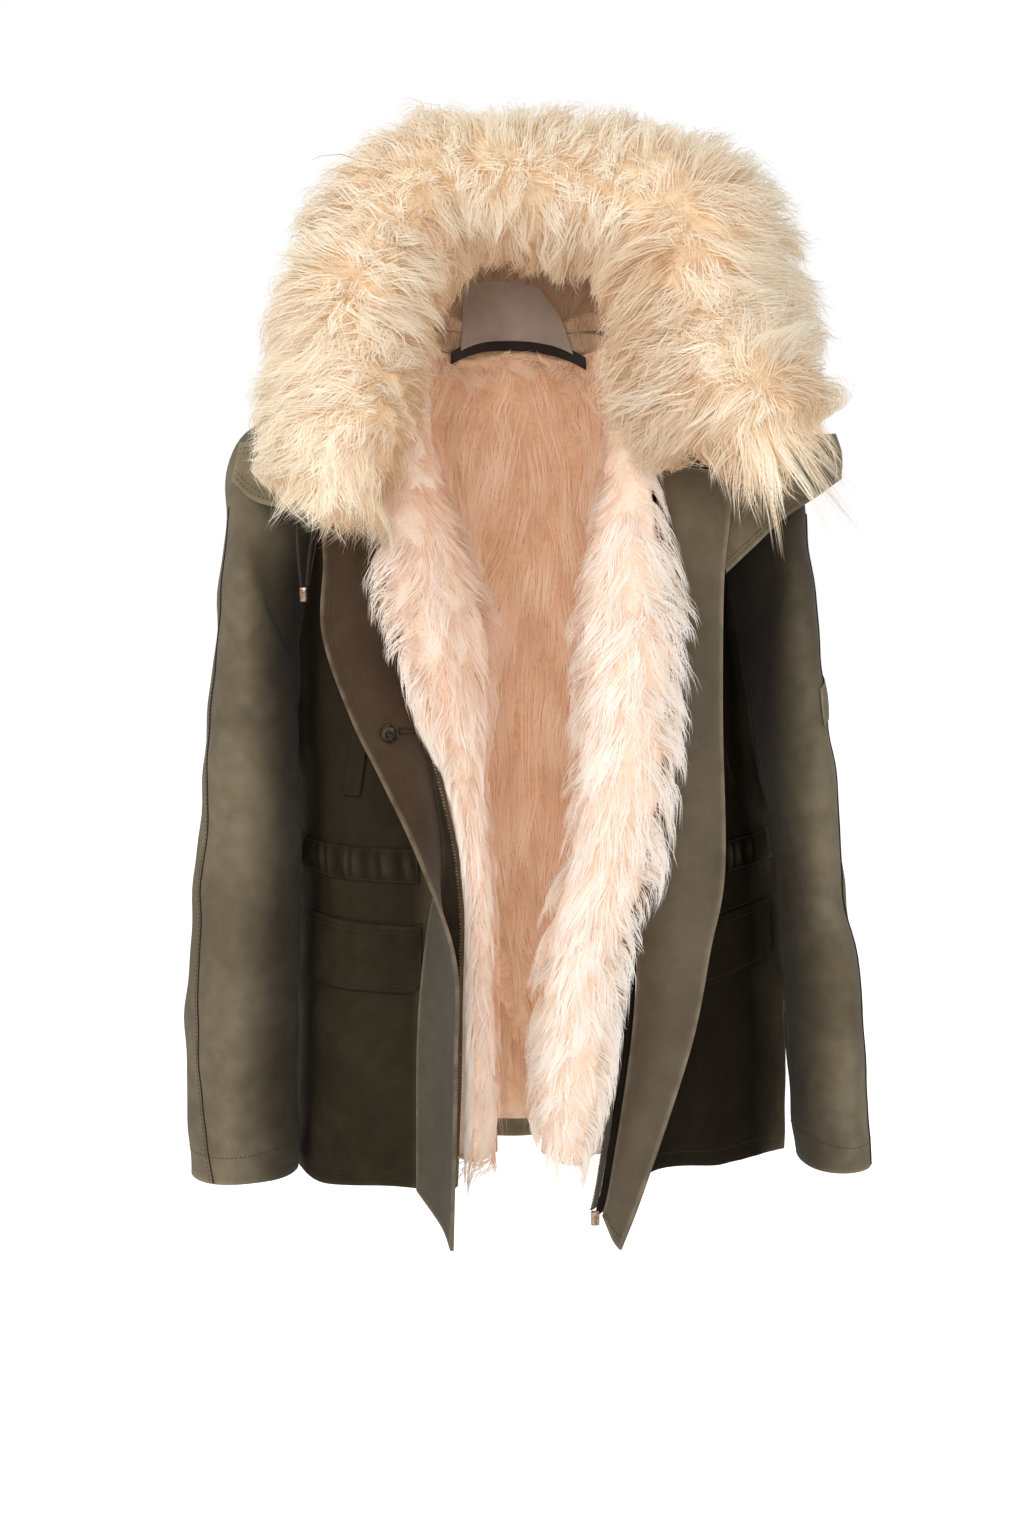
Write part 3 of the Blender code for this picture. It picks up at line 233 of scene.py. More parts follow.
def twill(name, colour, faded, rubbed, low=None, sheen=0.10, specular=0.22):
    """Olive twill: ribs along the diagonal of the UV map, clouds in the coat's own space.

    Where a panel lies deep between sleeve and flap, shade is painted into its colour by its mark,
    towards DEEP_SHADE. A second pair of colours, if given, takes over below the waist."""
    cloth = Finish(name, 0.88, sheen=sheen, specular=specular)
    across, up, _ = cloth.axes(cloth.place("UV"))
    ribs = (across + up).wave(WALE)
    yarn = cloth.noise(cloth.place("UV"), 900.0, 2.0)
    place = cloth.place("Object")
    clouds = cloth.noise(place, 9.0, 4.0)
    grain = cloth.noise(place, 60.0, 3.0)
    edge = cloth.mark("edge")
    cloudy = (clouds * 0.75 + grain * 0.35).step(0.35, 0.80)
    base = cloth.mix(colour, faded, cloudy)
    if low is not None:
        height = cloth.axes(place)[2] + clouds * 0.04
        base = cloth.mix(cloth.mix(*low, cloudy), base, height.step(*WAIST_FADE))
    rubbing = (1 - edge.step(0.0, RUBBED_EDGE)) * (grain.step(0.35, 0.7) * 0.45 + 0.25)
    # Real rubbed edges first, then painted shade: the mark darkens the colour towards DEEP_SHADE.
    worn_and_painted_shade = cloth.mix(cloth.mix(base, rubbed, rubbing), DEEP_SHADE, cloth.mark("painted_shade"))
    ribbed = cloth.mix(worn_and_painted_shade, BLACK, (1 - ribs * yarn) * 0.07)
    pucker = cloth.noise(place, 130.0, 2.0) * (1 - edge.step(*PUCKERED))
    lap = edge.step(*LAP) * -0.45
    return cloth.wear(ribbed, ribs * 0.06 + yarn * 0.08 + grain * 0.35 + pucker * 0.9 + lap, 0.0011)


def plain_weave(name, colour, lighter, pitch):
    """Over-and-under weave: two crossed waves on the UV map."""
    cloth = Finish(name, 0.8, sheen=0.1, specular=0.3)
    across, up, _ = cloth.axes(cloth.place("UV"))
    weave = across.wave(pitch) * up.wave(pitch)
    clouds = cloth.noise(cloth.place("Object"), 22.0, 3.0)
    base = cloth.mix(colour, lighter, clouds.step(0.3, 0.7))
    shade = cloth.mix(base, BLACK, (1 - weave) * 0.06)
    return cloth.wear(shade, weave * 0.10 + clouds * 0.7, 0.001)


SHELL = twill("shell_twill", (0.150, 0.118, 0.072), (0.288, 0.238, 0.158), (0.38, 0.32, 0.22))
# The fronts' twill is a darker copy of the shell twill without sheen: painted shade.
SHADED = twill("shaded_twill", (0.080, 0.060, 0.036), (0.150, 0.120, 0.074), (0.22, 0.17, 0.11),
               sheen=0.0, specular=0.04)
GREY_GREEN = ((0.082, 0.065, 0.044), (0.120, 0.100, 0.069))
FACING = twill("facing_twill", (0.060, 0.036, 0.020), (0.094, 0.060, 0.034), (0.30, 0.225, 0.15),
               GREY_GREEN)
LAPEL = twill("lapel_twill", (0.122, 0.096, 0.063), (0.184, 0.149, 0.102), (0.35, 0.28, 0.20))
NECK = plain_weave("neck_cloth", (0.44, 0.37, 0.34), (0.58, 0.50, 0.46), 0.0012)
TAPE = plain_weave("neck_band", (0.022, 0.018, 0.014), (0.040, 0.033, 0.027), 0.0011)
ZIP_CLOTH = plain_weave("zip_tape", (0.085, 0.070, 0.047), (0.145, 0.120, 0.083), 0.0011)
TAN = plain_weave("tan_tape", (0.40, 0.27, 0.15), (0.52, 0.38, 0.24), 0.0012)
CORD = plain_weave("cord", (0.030, 0.020, 0.014), (0.060, 0.042, 0.032), 0.0010)
print("cloths:", [m.name for m in (SHELL, SHADED, FACING, LAPEL, NECK, TAPE, ZIP_CLOTH, TAN, CORD)])

# %% [markdown]
# ## Thread and metal
#
# Topstitching is a little darker than the cloth, and darkest on the folded flaps. The zip's teeth,
# the button and the cord's tip are of aged brass, brown in its hollows and bright where touched.


# %% Thread and brass
def thread(name, colour):
    """Twisted yarn: its tone drifts from one length to the next."""
    yarn = Finish(name, 0.8, specular=0.2)
    tone = yarn.noise(yarn.place("Object"), 300.0, 1.0)
    return yarn.wear(yarn.mix(colour, BLACK, tone * 0.4))


def brass(name, colour, dark):
    """Aged metal: dark patches, and fine scratches in its height."""
    metal = Finish(name, 0.34, metallic=1.0)
    place = metal.place("Object")
    patches = metal.noise(place, 240.0, 4.0)
    rough = metal.noise(place, 900.0, 2.0) * 0.25 + 0.25
    metal.tree.links.new(rough.socket, metal.shader.inputs["Roughness"])
    return metal.wear(metal.mix(colour, dark, patches.step(0.4, 0.65)), patches, 0.0001)


THREAD = thread("olive_thread", (0.072, 0.057, 0.036))
SHADED_THREAD = thread("shaded_thread", (0.105, 0.084, 0.055))
DARK_THREAD = thread("brown_thread", (0.030, 0.020, 0.013))
METAL = brass("dark_metal", (0.62, 0.49, 0.35), (0.20, 0.15, 0.10))
DARK_METAL = brass("button_metal", (0.13, 0.10, 0.075), (0.035, 0.025, 0.018))
TIP_METAL = brass("tip_metal", (0.72, 0.54, 0.40), (0.32, 0.22, 0.15))
print("trimmings:", [m.name for m in (THREAD, SHADED_THREAD, DARK_THREAD, METAL, DARK_METAL, TIP_METAL)])

# %% [markdown]
# ## Fur
#
# Sheepskin with long wool: cream on the outside of the ruff, peach inside the coat, and each hair
# paler towards its tip. Shade is painted into the colour as a darker peach towards the face
# opening, under the ruff and in the hood, and the fur glows a little in its own colour, which is
# painted light. The colour depends on two numbers only, which every hair carries in its UV map:
# its tone across the map and the way from root to tip up the map.


# %% Fur finish
def fur(name, deep, root, tip, painted_glow):
    """Colour of a hair: from deep at tone 0 to root at tone 1, and paler towards tip.

    The tip of a hair of tone 0 lies halfway between deep and root."""
    hair = Finish(name, 0.70, sheen=0.06, specular=0.10)
    tone, reach, _ = hair.axes(hair.place("UV"))
    base = hair.mix(deep, root, tone)
    half = tuple((first + second) / 2 for first, second in zip(deep, root))
    end = hair.mix(half, tip, tone)
    return hair.wear(hair.mix(base, end, reach.step(0.05, 0.85)), painted_glow=painted_glow)


def wool(name, deep, pale, painted_glow):
    """The dense wool under the hairs: cloudy tufts of two tones, with fine curls in its height."""
    coat = Finish(name, 0.9, sheen=0.2, specular=0.1)
    place = coat.place("Object")
    tufts = coat.noise(place, 70.0, 3.0)
    curls = coat.noise(place, 380.0, 2.0)
    share = (tufts * 0.7 + curls * 0.4).step(0.35, 0.72)
    return coat.wear(coat.mix(deep, pale, share), tufts * 0.7 + curls * 0.4, 0.003, painted_glow)


# The last number of each fur and wool is its painted glow, emitted light that lifts its shade.
RUFF_FUR = fur("fur_cream", (0.66, 0.43, 0.25), (0.94, 0.77, 0.55), (1.0, 0.93, 0.79), 0.14)
LINING_FUR = fur("fur_lining", (0.55, 0.30, 0.145), (0.92, 0.63, 0.43), (0.98, 0.80, 0.64), 0.14)
BREAST_FUR = fur("fur_breast", (0.76, 0.46, 0.29), (0.96, 0.82, 0.70), (1.0, 0.955, 0.90), 0.15)
# The hood's fur and wool are darker copies of the lining's: painted shade inside the hood.
HOOD_FUR = fur("fur_inside_hood_painted_shade", (0.48, 0.31, 0.19), (0.70, 0.49, 0.33), (0.84, 0.63, 0.46), 0.06)
RUFF_WOOL = wool("ruff_wool", (0.70, 0.48, 0.29), (0.88, 0.68, 0.46), 0.12)
LINING_WOOL = wool("lining_wool", (0.72, 0.44, 0.27), (0.88, 0.60, 0.41), 0.13)
BREAST_WOOL = wool("breast_wool", (0.88, 0.66, 0.50), (0.95, 0.79, 0.66), 0.14)
HOOD_WOOL = wool("hood_wool_painted_shade", (0.46, 0.30, 0.19), (0.66, 0.46, 0.31), 0.07)
print("furs:", [m.name for m in (RUFF_FUR, LINING_FUR, BREAST_FUR, HOOD_FUR)])

# %% [markdown]
# ## Surfaces as arrays
#
# Each panel is a function of two numbers, up and across. A short table of sections is read with
# a smooth curve in both directions, which gives a grid of points. The grid's own directions give
# where it faces, and lengths along its rows and columns give a flat map in metres, the cut.


# %% Curves and grids
def smooth(points, at):
    """Catmull-Rom curve through points (their first axis), read at the parameters in at."""
    points = np.asarray(points, float)
    at = np.asarray(at, float)
    left = np.clip(np.floor(at).astype(int), 0, len(points) - 2)
    t = (at - left).reshape((-1,) + (1,) * (points.ndim - 1))
    slope = np.gradient(points, axis=0)
    return ((2 * t**3 - 3 * t**2 + 1) * points[left] + (t**3 - 2 * t**2 + t) * slope[left]
            + (3 * t**2 - 2 * t**3) * points[left + 1] + (t**3 - t**2) * slope[left + 1])


def sheet(net, up, across):
    """Surface through a net of rows and columns, read on a grid of parameters."""
    return smooth(smooth(net, up).swapaxes(0, 1), across).swapaxes(0, 1)


def clamp(values):
    """Values held between 0 and 1."""
    return np.clip(values, 0, 1)


def ease(t):
    """3 t^2 - 2 t^3: from 0 to 1 with a level start and end."""
    return t * t * (3 - 2 * t)


def unit(vectors):
    return vectors / np.maximum(np.linalg.norm(vectors, axis=-1, keepdims=True), 1e-12)


def facing(grid):
    """Directions out of a grid whose columns run to the right and whose rows run up."""
    return unit(np.cross(np.gradient(grid, axis=1), np.gradient(grid, axis=0)))


def measure(grid, axis):
    """Length from the grid's first line to every point, along its rows (1) or columns (0)."""
    steps = np.linalg.norm(np.diff(grid, axis=axis), axis=-1)
    start = np.zeros_like(grid[..., 0]).take([0], axis=axis)
    return np.concatenate([start, np.cumsum(steps, axis=axis)], axis=axis)


def cut(grid):
    """Flat map of a panel in metres, and each point's distance to the nearest border."""
    across, up = measure(grid, 1), measure(grid, 0)
    borders = (across, across[:, -1:] - across, up, up[-1:] - up)
    return np.stack([across, up], axis=-1), np.minimum.reduce(borders)


LATTICE = 32            # the random numbers repeat after so many cells


def mist(points, size, seed):
    """Smooth random numbers from -1 to 1: random values on a cubic lattice, blended in between."""
    lattice = np.random.default_rng(seed).uniform(-1, 1, (LATTICE, LATTICE, LATTICE))
    place = np.asarray(points, float) / size
    cell = np.floor(place).astype(int)
    t = ease(place - cell)
    total = 0.0
    for corner in np.ndindex(2, 2, 2):
        share = np.prod(np.where(corner, t, 1 - t), axis=-1)
        x, y, z = np.moveaxis((cell + corner) % LATTICE, -1, 0)
        total = total + share * lattice[x, y, z]
    return total


def read(grid, row, column):
    """Points of a grid at fractional rows and columns, blended between their four neighbours."""
    i, j = np.minimum(row.astype(int), grid.shape[0] - 2), np.minimum(column.astype(int), grid.shape[1] - 2)
    a, b = (row - i)[..., None], (column - j)[..., None]
    return ((1 - a) * ((1 - b) * grid[i, j] + b * grid[i, j + 1])
            + a * ((1 - b) * grid[i + 1, j] + b * grid[i + 1, j + 1]))


print("curve through 0, 1, 4 at 1.5:", smooth([0.0, 1.0, 4.0], [1.5]))


# %% Meshes from arrays
def store(mesh, mark, values):
    """Stores one number for every point of a mesh, which a material reads by the mark's name."""
    mesh.attributes.new(mark, "FLOAT", "POINT").data.foreach_set("value", values.astype(np.float32))


def points_of(piece):
    """Array of a finished piece's points."""
    points = np.empty(3 * len(piece.data.vertices), np.float32)
    piece.data.vertices.foreach_get("co", points)
    return points.reshape(-1, 3)


def mesh_of(name, points, faces, uv=None, **marks):
    """Mesh from an array of points and arrays of faces with three or four corners."""
    mesh = bpy.data.meshes.new(name)
    sizes = np.concatenate([np.full(len(some), some.shape[1]) for some in faces])
    corners = np.concatenate([some.ravel() for some in faces]).astype(np.int32)
    mesh.vertices.add(len(points))
    mesh.vertices.foreach_set("co", np.asarray(points, np.float32).ravel())
    mesh.loops.add(len(corners))
    mesh.loops.foreach_set("vertex_index", corners)
    mesh.polygons.add(len(sizes))
    mesh.polygons.foreach_set("loop_start", (np.cumsum(sizes) - sizes).astype(np.int32))
    mesh.update(calc_edges=True)
    if uv is not None:
        layer = mesh.uv_layers.new(name="cut")
        layer.uv.foreach_set("vector", np.asarray(uv, np.float32)[corners].ravel())
    for mark, values in marks.items():
        store(mesh, mark, values)
    return mesh


def show(mesh, material, slot, nodes=(), sharp=50.0, normals=None):
    """Puts a mesh on the coat in place of its CAD nodes."""
    mesh.materials.append(material)
    mesh.shade_smooth()
    if sharp:
        mesh.set_sharp_from_angle(angle=math.radians(sharp))
    if normals is not None:
        mesh.normals_split_custom_set_from_vertices(normals)
    piece = bpy.data.objects.new(mesh.name, mesh)
    scene.collection.objects.link(piece)
    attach(piece, "root")
    if nodes:
        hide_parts(*nodes)
    return piece


def quads(rows, columns, start=0):
    """Faces between the points of a grid, counterclockwise seen from where it faces."""
    corner = start + np.arange(rows * columns).reshape(rows, columns)
    return np.stack([corner[:-1, :-1], corner[:-1, 1:], corner[1:, 1:], corner[1:, :-1]], -1).reshape(-1, 4)


def wall(name, outer, inner):
    """Closed cloth between two grids: both faces and a rim round the border."""
    rows, columns = outer.shape[:2]
    count = rows * columns
    corner = np.arange(count).reshape(rows, columns)
    border = np.concatenate([corner[0, :-1], corner[:-1, -1], corner[-1, :0:-1], corner[:0:-1, 0]])
    after = np.roll(border, -1)
    rim = np.stack([after, border, border + count, after + count], axis=-1)
    faces = np.concatenate([quads(rows, columns), quads(rows, columns, count)[:, ::-1], rim])
    if np.mean(np.sum(facing(outer) * (outer - inner), axis=-1)) < 0:
        faces = faces[:, ::-1]
    uv, edge = cut(outer)
    points = np.concatenate([outer.reshape(-1, 3), inner.reshape(-1, 3)])
    return mesh_of(name, points, [faces], np.tile(uv.reshape(-1, 2), (2, 1)), edge=np.tile(edge.ravel(), 2))


def area_of(grid):
    """Area of a grid's cells, each as half the cross product of its diagonals."""
    first, second = grid[1:, 1:] - grid[:-1, :-1], grid[1:, :-1] - grid[:-1, 1:]
    return float(np.linalg.norm(np.cross(first, second), axis=-1).sum() / 2)


SHEET_FROM = 0.010      # narrower than this it is a tape, not a sheet


def tailor(name, outer, inner, material, slot, nodes, rests_on=()):
    """Cloth piece: its wall, its place on the coat and the flat size that it was cut to."""
    piece = show(wall(name, outer, inner), material, slot, nodes)
    heights = measure(outer, 0)[-1]
    width = float(measure(outer, 1)[:, -1].max())
    length = float(heights[len(heights) // 2] if rests_on else heights.max())
    if min(width, length) >= SHEET_FROM:
        area_of(outer)
    print(f"{name}: cut {width * 1000:.0f} x {length * 1000:.0f} mm, {len(piece.data.polygons)} faces")
    return piece


print("meshes come from arrays")

# %% [markdown]
# ## The drawcord
#
# Two strands of a thin round cord hang from under the ruff and meet in a metal tip. They lie on
# the routes of their CAD nodes. Each is a tube round its route, with a plaited surface, and the
# strands run into the tip, so neither ends in the air.

# %% Drawcord strands
CORD_DIAMETER = 0.003
CORD_OUTER = ((-0.187, -0.1000, -0.148), (-0.189, -0.1015, -0.172),
              (-0.1885, -0.1030, -0.198), (-0.1862, -0.1040, -0.2255))
CORD_INNER = ((-0.174, -0.1075, -0.146), (-0.1745, -0.1085, -0.170),
              (-0.1790, -0.1070, -0.198), (-0.1818, -0.1044, -0.2255))
CORD_TIP_TOP = (-0.184, -0.1042, -0.2262)
CORD_TIP_RADIUS, CORD_TIP_LENGTH = 0.0042, 0.0125


def tube(name, path, radius, sides=12):
    """Tube: at each point of the path a circle across it, drawn in to a pole at both ends."""
    path = np.asarray(path, float)
    radius = np.broadcast_to(radius, len(path))[:, None, None]
    ahead = unit(np.gradient(path, axis=0))
    side = unit(np.cross(ahead, (0.31, 0.83, 0.46)))
    turn = np.linspace(0, 2 * math.pi, sides, endpoint=False)[None, :, None]
    round_it = np.cos(turn) * side[:, None] + np.sin(turn) * np.cross(ahead, side)[:, None]
    return rolled(name, path[:, None] + radius * round_it)


def rolled(name, rings):
    """Closed skin over a stack of rings, with a pole in the middle of each end ring."""
    count, sides = rings.shape[:2]
    corner = np.arange(count * sides).reshape(count, sides)
    beside = np.roll(corner, -1, axis=1)
    skin = np.stack([corner[:-1], beside[:-1], beside[1:], corner[1:]], axis=-1).reshape(-1, 4)
    pole = count * sides
    ends = [np.stack([beside[0], corner[0], np.full(sides, pole)], -1),
            np.stack([corner[-1], beside[-1], np.full(sides, pole + 1)], -1)]
    points = np.concatenate([rings.reshape(-1, 3), [rings[0].mean(0)], [rings[-1].mean(0)]])
    turn, along = np.meshgrid(np.arange(sides) / sides, measure(rings, 0).mean(1))
    uv = np.concatenate([np.stack([turn * 0.01, along], -1).reshape(-1, 2), [[0, 0]], [[0, along[-1, 0]]]])
    outward = rings[count // 2] - rings[count // 2].mean(0)
    spin = np.cross(np.roll(rings[count // 2], -1, 0) - rings[count // 2],
                    rings[min(count // 2 + 1, count - 1)] - rings[count // 2 - 1])
    if np.sum(outward * spin) < 0:
        skin, ends = skin[:, ::-1], [end[:, ::-1] for end in ends]
    return mesh_of(name, points, [skin, *ends], uv)


LATHE_SIDES = 32


def lathe(name, profile, at, axis):
    """Turned piece: a profile of (radius, height) pairs carried round an axis."""
    profile = np.asarray(profile, float)
    axis = np.asarray(axis, float) / np.linalg.norm(axis)
    side = unit(np.cross(axis, (0.21, 0.92, 0.33)))
    turn = np.linspace(0, 2 * math.pi, LATHE_SIDES, endpoint=False)[None, :, None]
    round_it = np.cos(turn) * side + np.sin(turn) * np.cross(axis, side)
    rings = np.asarray(at) + profile[:, 0, None, None] * round_it + (profile[:, 1, None] * axis)[:, None]
    return rolled(name, rings)


tip_profile = [(r * CORD_TIP_RADIUS, -h * CORD_TIP_LENGTH) for r, h in
               ((0.55, 0.0), (0.98, 0.05), (1.0, 0.16), (0.86, 0.20), (0.86, 0.24), (1.0, 0.28),
                (0.95, 0.60), (0.84, 0.64), (0.84, 0.68), (0.93, 0.72), (0.84, 0.95), (0.6, 1.0))]
cord_tip = show(lathe("cord_end", tip_profile[::-1], CORD_TIP_TOP, (0, 0, 1)), TIP_METAL, "dark_metal",
                ["cord_tip"], 40.0)
for name, route in (("cord_outer", CORD_OUTER), ("cord_inner", CORD_INNER)):
    path = smooth(route, np.linspace(0, len(route) - 1, 25))
    strand = show(tube(f"{name}_strand", path, CORD_DIAMETER / 2), CORD, "cord", [name])

# %% [markdown]
# ## Sections of the shell
#
# The tables hold one row per height, from the hem to the shoulder, in metres. A front has four
# points across and the back has five. The sleeves are rings with a centre and two half widths.
# These are the tables of the CAD part, read on a much finer grid.

# %% Body tables
BODY_ROWS = ("hem", "pocket", "waist", "chest", "armpit", "armhole", "yoke", "shoulder")
# A front's columns are its side seam, its middle, the fore part and the edge beside the zip.
FRONT_RIGHT = (
    ((-0.205, 0.038, -0.752), (-0.176, -0.070, -0.741), (-0.124, -0.112, -0.731), (-0.062, -0.122, -0.738)),
    ((-0.200, 0.036, -0.600), (-0.172, -0.066, -0.600), (-0.124, -0.108, -0.600), (-0.058, -0.122, -0.600)),
    ((-0.198, 0.032, -0.460), (-0.166, -0.060, -0.460), (-0.121, -0.101, -0.460), (-0.059, -0.124, -0.460)),
    ((-0.197, 0.026, -0.340), (-0.168, -0.060, -0.340), (-0.130, -0.098, -0.340), (-0.086, -0.124, -0.338)),
    ((-0.189, 0.000, -0.255), (-0.170, -0.056, -0.252), (-0.142, -0.088, -0.250), (-0.113, -0.112, -0.248)),
    ((-0.172, -0.050, -0.160), (-0.160, -0.066, -0.162), (-0.144, -0.080, -0.160), (-0.127, -0.091, -0.157)),
    ((-0.181, -0.040, -0.100), (-0.156, -0.054, -0.086), (-0.136, -0.062, -0.075), (-0.117, -0.066, -0.065)),
    ((-0.205, 0.000, -0.062), (-0.166, 0.000, -0.040), (-0.127, 0.000, -0.020), (-0.088, 0.000, 0.000)),
)
FRONT_LEFT = (
    ((0.258, 0.030, -0.752), (0.174, -0.085, -0.728), (0.104, -0.130, -0.720), (0.054, -0.166, -0.746)),
    ((0.256, 0.032, -0.600), (0.170, -0.086, -0.600), (0.116, -0.127, -0.600), (0.078, -0.160, -0.602)),
    ((0.248, 0.034, -0.460), (0.168, -0.080, -0.460), (0.122, -0.120, -0.460), (0.087, -0.146, -0.460)),
    ((0.224, 0.030, -0.340), (0.168, -0.074, -0.340), (0.128, -0.113, -0.340), (0.092, -0.138, -0.340)),
    ((0.196, 0.000, -0.255), (0.167, -0.066, -0.252), (0.135, -0.098, -0.250), (0.101, -0.122, -0.248)),
    ((0.174, -0.050, -0.160), (0.160, -0.070, -0.162), (0.135, -0.086, -0.160), (0.108, -0.096, -0.157)),
    ((0.186, -0.040, -0.100), (0.158, -0.056, -0.086), (0.134, -0.063, -0.075), (0.110, -0.068, -0.065)),
    ((0.210, 0.000, -0.062), (0.169, 0.000, -0.040), (0.128, 0.000, -0.020), (0.088, 0.000, 0.000)),
)
# The back's columns are its left side seam, left blade, centre, right blade and right side seam.
BACK = (
    ((0.258, 0.030, -0.752), (0.145, 0.085, -0.750), (0.015, 0.106, -0.755),
     (-0.115, 0.092, -0.750), (-0.205, 0.038, -0.752)),
    ((0.256, 0.032, -0.600), (0.140, 0.081, -0.600), (0.012, 0.102, -0.600),
     (-0.113, 0.087, -0.600), (-0.200, 0.036, -0.600)),
    ((0.248, 0.034, -0.460), (0.132, 0.077, -0.460), (0.008, 0.096, -0.460),
     (-0.110, 0.080, -0.460), (-0.198, 0.032, -0.460)),
    ((0.224, 0.030, -0.340), (0.128, 0.079, -0.340), (0.002, 0.100, -0.340),
     (-0.114, 0.080, -0.340), (-0.197, 0.026, -0.340)),
    ((0.196, 0.000, -0.255), (0.125, 0.080, -0.250), (0.000, 0.104, -0.250),
     (-0.118, 0.079, -0.250), (-0.189, 0.000, -0.255)),
    ((0.178, 0.046, -0.160), (0.118, 0.083, -0.160), (0.000, 0.104, -0.160),
     (-0.116, 0.082, -0.160), (-0.176, 0.046, -0.160)),
    ((0.188, 0.036, -0.100), (0.108, 0.067, -0.078), (0.000, 0.094, -0.070),
     (-0.108, 0.067, -0.078), (-0.184, 0.036, -0.100)),
    ((0.210, 0.000, -0.062), (0.088, 0.000, 0.000), (0.000, 0.070, 0.000),
     (-0.088, 0.000, 0.000), (-0.205, 0.000, -0.062)),
)
print("body rows:", dict(zip(BODY_ROWS, np.array(BACK)[:, 2, 2].tolist())))

# %% Sleeve rings and folds
Ring = namedtuple("Ring", "row x y z half_x half_y lift")
SLEEVE_RIGHT = (
    Ring("cuff", -0.244, -0.034, -0.738, 0.047, 0.048, 0.000),
    Ring("hem fold", -0.245, -0.036, -0.690, 0.049, 0.050, 0.000),
    Ring("low forearm", -0.244, -0.036, -0.600, 0.049, 0.052, 0.000),
    Ring("forearm", -0.239, -0.036, -0.500, 0.046, 0.054, 0.004),
    Ring("elbow", -0.234, -0.034, -0.400, 0.042, 0.058, 0.010),
    Ring("low upper arm", -0.230, -0.026, -0.308, 0.036, 0.062, 0.026),
    Ring("upper arm", -0.226, -0.016, -0.240, 0.030, 0.065, 0.058),
    Ring("cap", -0.223, -0.006, -0.190, 0.025, 0.064, 0.083),
)
SLEEVE_LEFT = (
    Ring("cuff", 0.286, -0.034, -0.741, 0.033, 0.049, 0.000),
    Ring("hem fold", 0.282, -0.036, -0.690, 0.034, 0.051, 0.000),
    Ring("low forearm", 0.274, -0.036, -0.600, 0.033, 0.054, 0.000),
    Ring("forearm", 0.263, -0.036, -0.500, 0.030, 0.056, 0.004),
    Ring("elbow", 0.249, -0.033, -0.400, 0.029, 0.058, 0.010),
    Ring("low upper arm", 0.239, -0.026, -0.308, 0.027, 0.060, 0.026),
    Ring("upper arm", 0.231, -0.016, -0.240, 0.025, 0.062, 0.058),
    Ring("cap", 0.225, -0.006, -0.190, 0.021, 0.062, 0.083),
)
# A fold is a ridge along a line, or a trough where its depth is negative.
Fold = namedtuple("Fold", "place start end width depth")
FOLDS = (
    Fold("right elbow, outer", (-0.290, -0.060, -0.420), (-0.235, -0.092, -0.450), 0.024, -0.0024),
    Fold("right forearm, long", (-0.262, -0.086, -0.500), (-0.250, -0.086, -0.700), 0.022, 0.0030),
    Fold("right upper arm, long", (-0.244, -0.080, -0.200), (-0.252, -0.088, -0.400), 0.022, 0.0030),
    Fold("right sleeve behind", (-0.270, 0.010, -0.420), (-0.215, 0.018, -0.460), 0.026, -0.0050),
    Fold("left elbow, inner", (0.222, -0.070, -0.470), (0.285, -0.085, -0.495), 0.024, -0.0060),
    Fold("left forearm, long", (0.275, -0.088, -0.540), (0.288, -0.082, -0.710), 0.020, 0.0040),
    Fold("left upper arm, long", (0.245, -0.078, -0.210), (0.262, -0.086, -0.400), 0.020, 0.0040),
    Fold("left sleeve behind", (0.300, 0.010, -0.430), (0.240, 0.020, -0.470), 0.026, -0.0050),
    Fold("right front drape", (-0.140, -0.095, -0.580), (-0.135, -0.105, -0.740), 0.022, 0.0040),
    Fold("left front drape", (0.150, -0.100, -0.580), (0.158, -0.092, -0.740), 0.022, 0.0045),
    Fold("back drape, right", (-0.070, 0.105, -0.500), (-0.078, 0.108, -0.750), 0.026, 0.0060),
    Fold("back drape, left", (0.085, 0.103, -0.500), (0.092, 0.108, -0.750), 0.026, 0.0060),
    Fold("back drape, middle", (0.010, 0.100, -0.520), (0.012, 0.106, -0.750), 0.026, -0.0050),
    Fold("right blade", (-0.110, 0.090, -0.150), (-0.085, 0.090, -0.330), 0.028, 0.0045),
    Fold("left blade", (0.112, 0.090, -0.150), (0.090, 0.090, -0.330), 0.028, 0.0045),
)
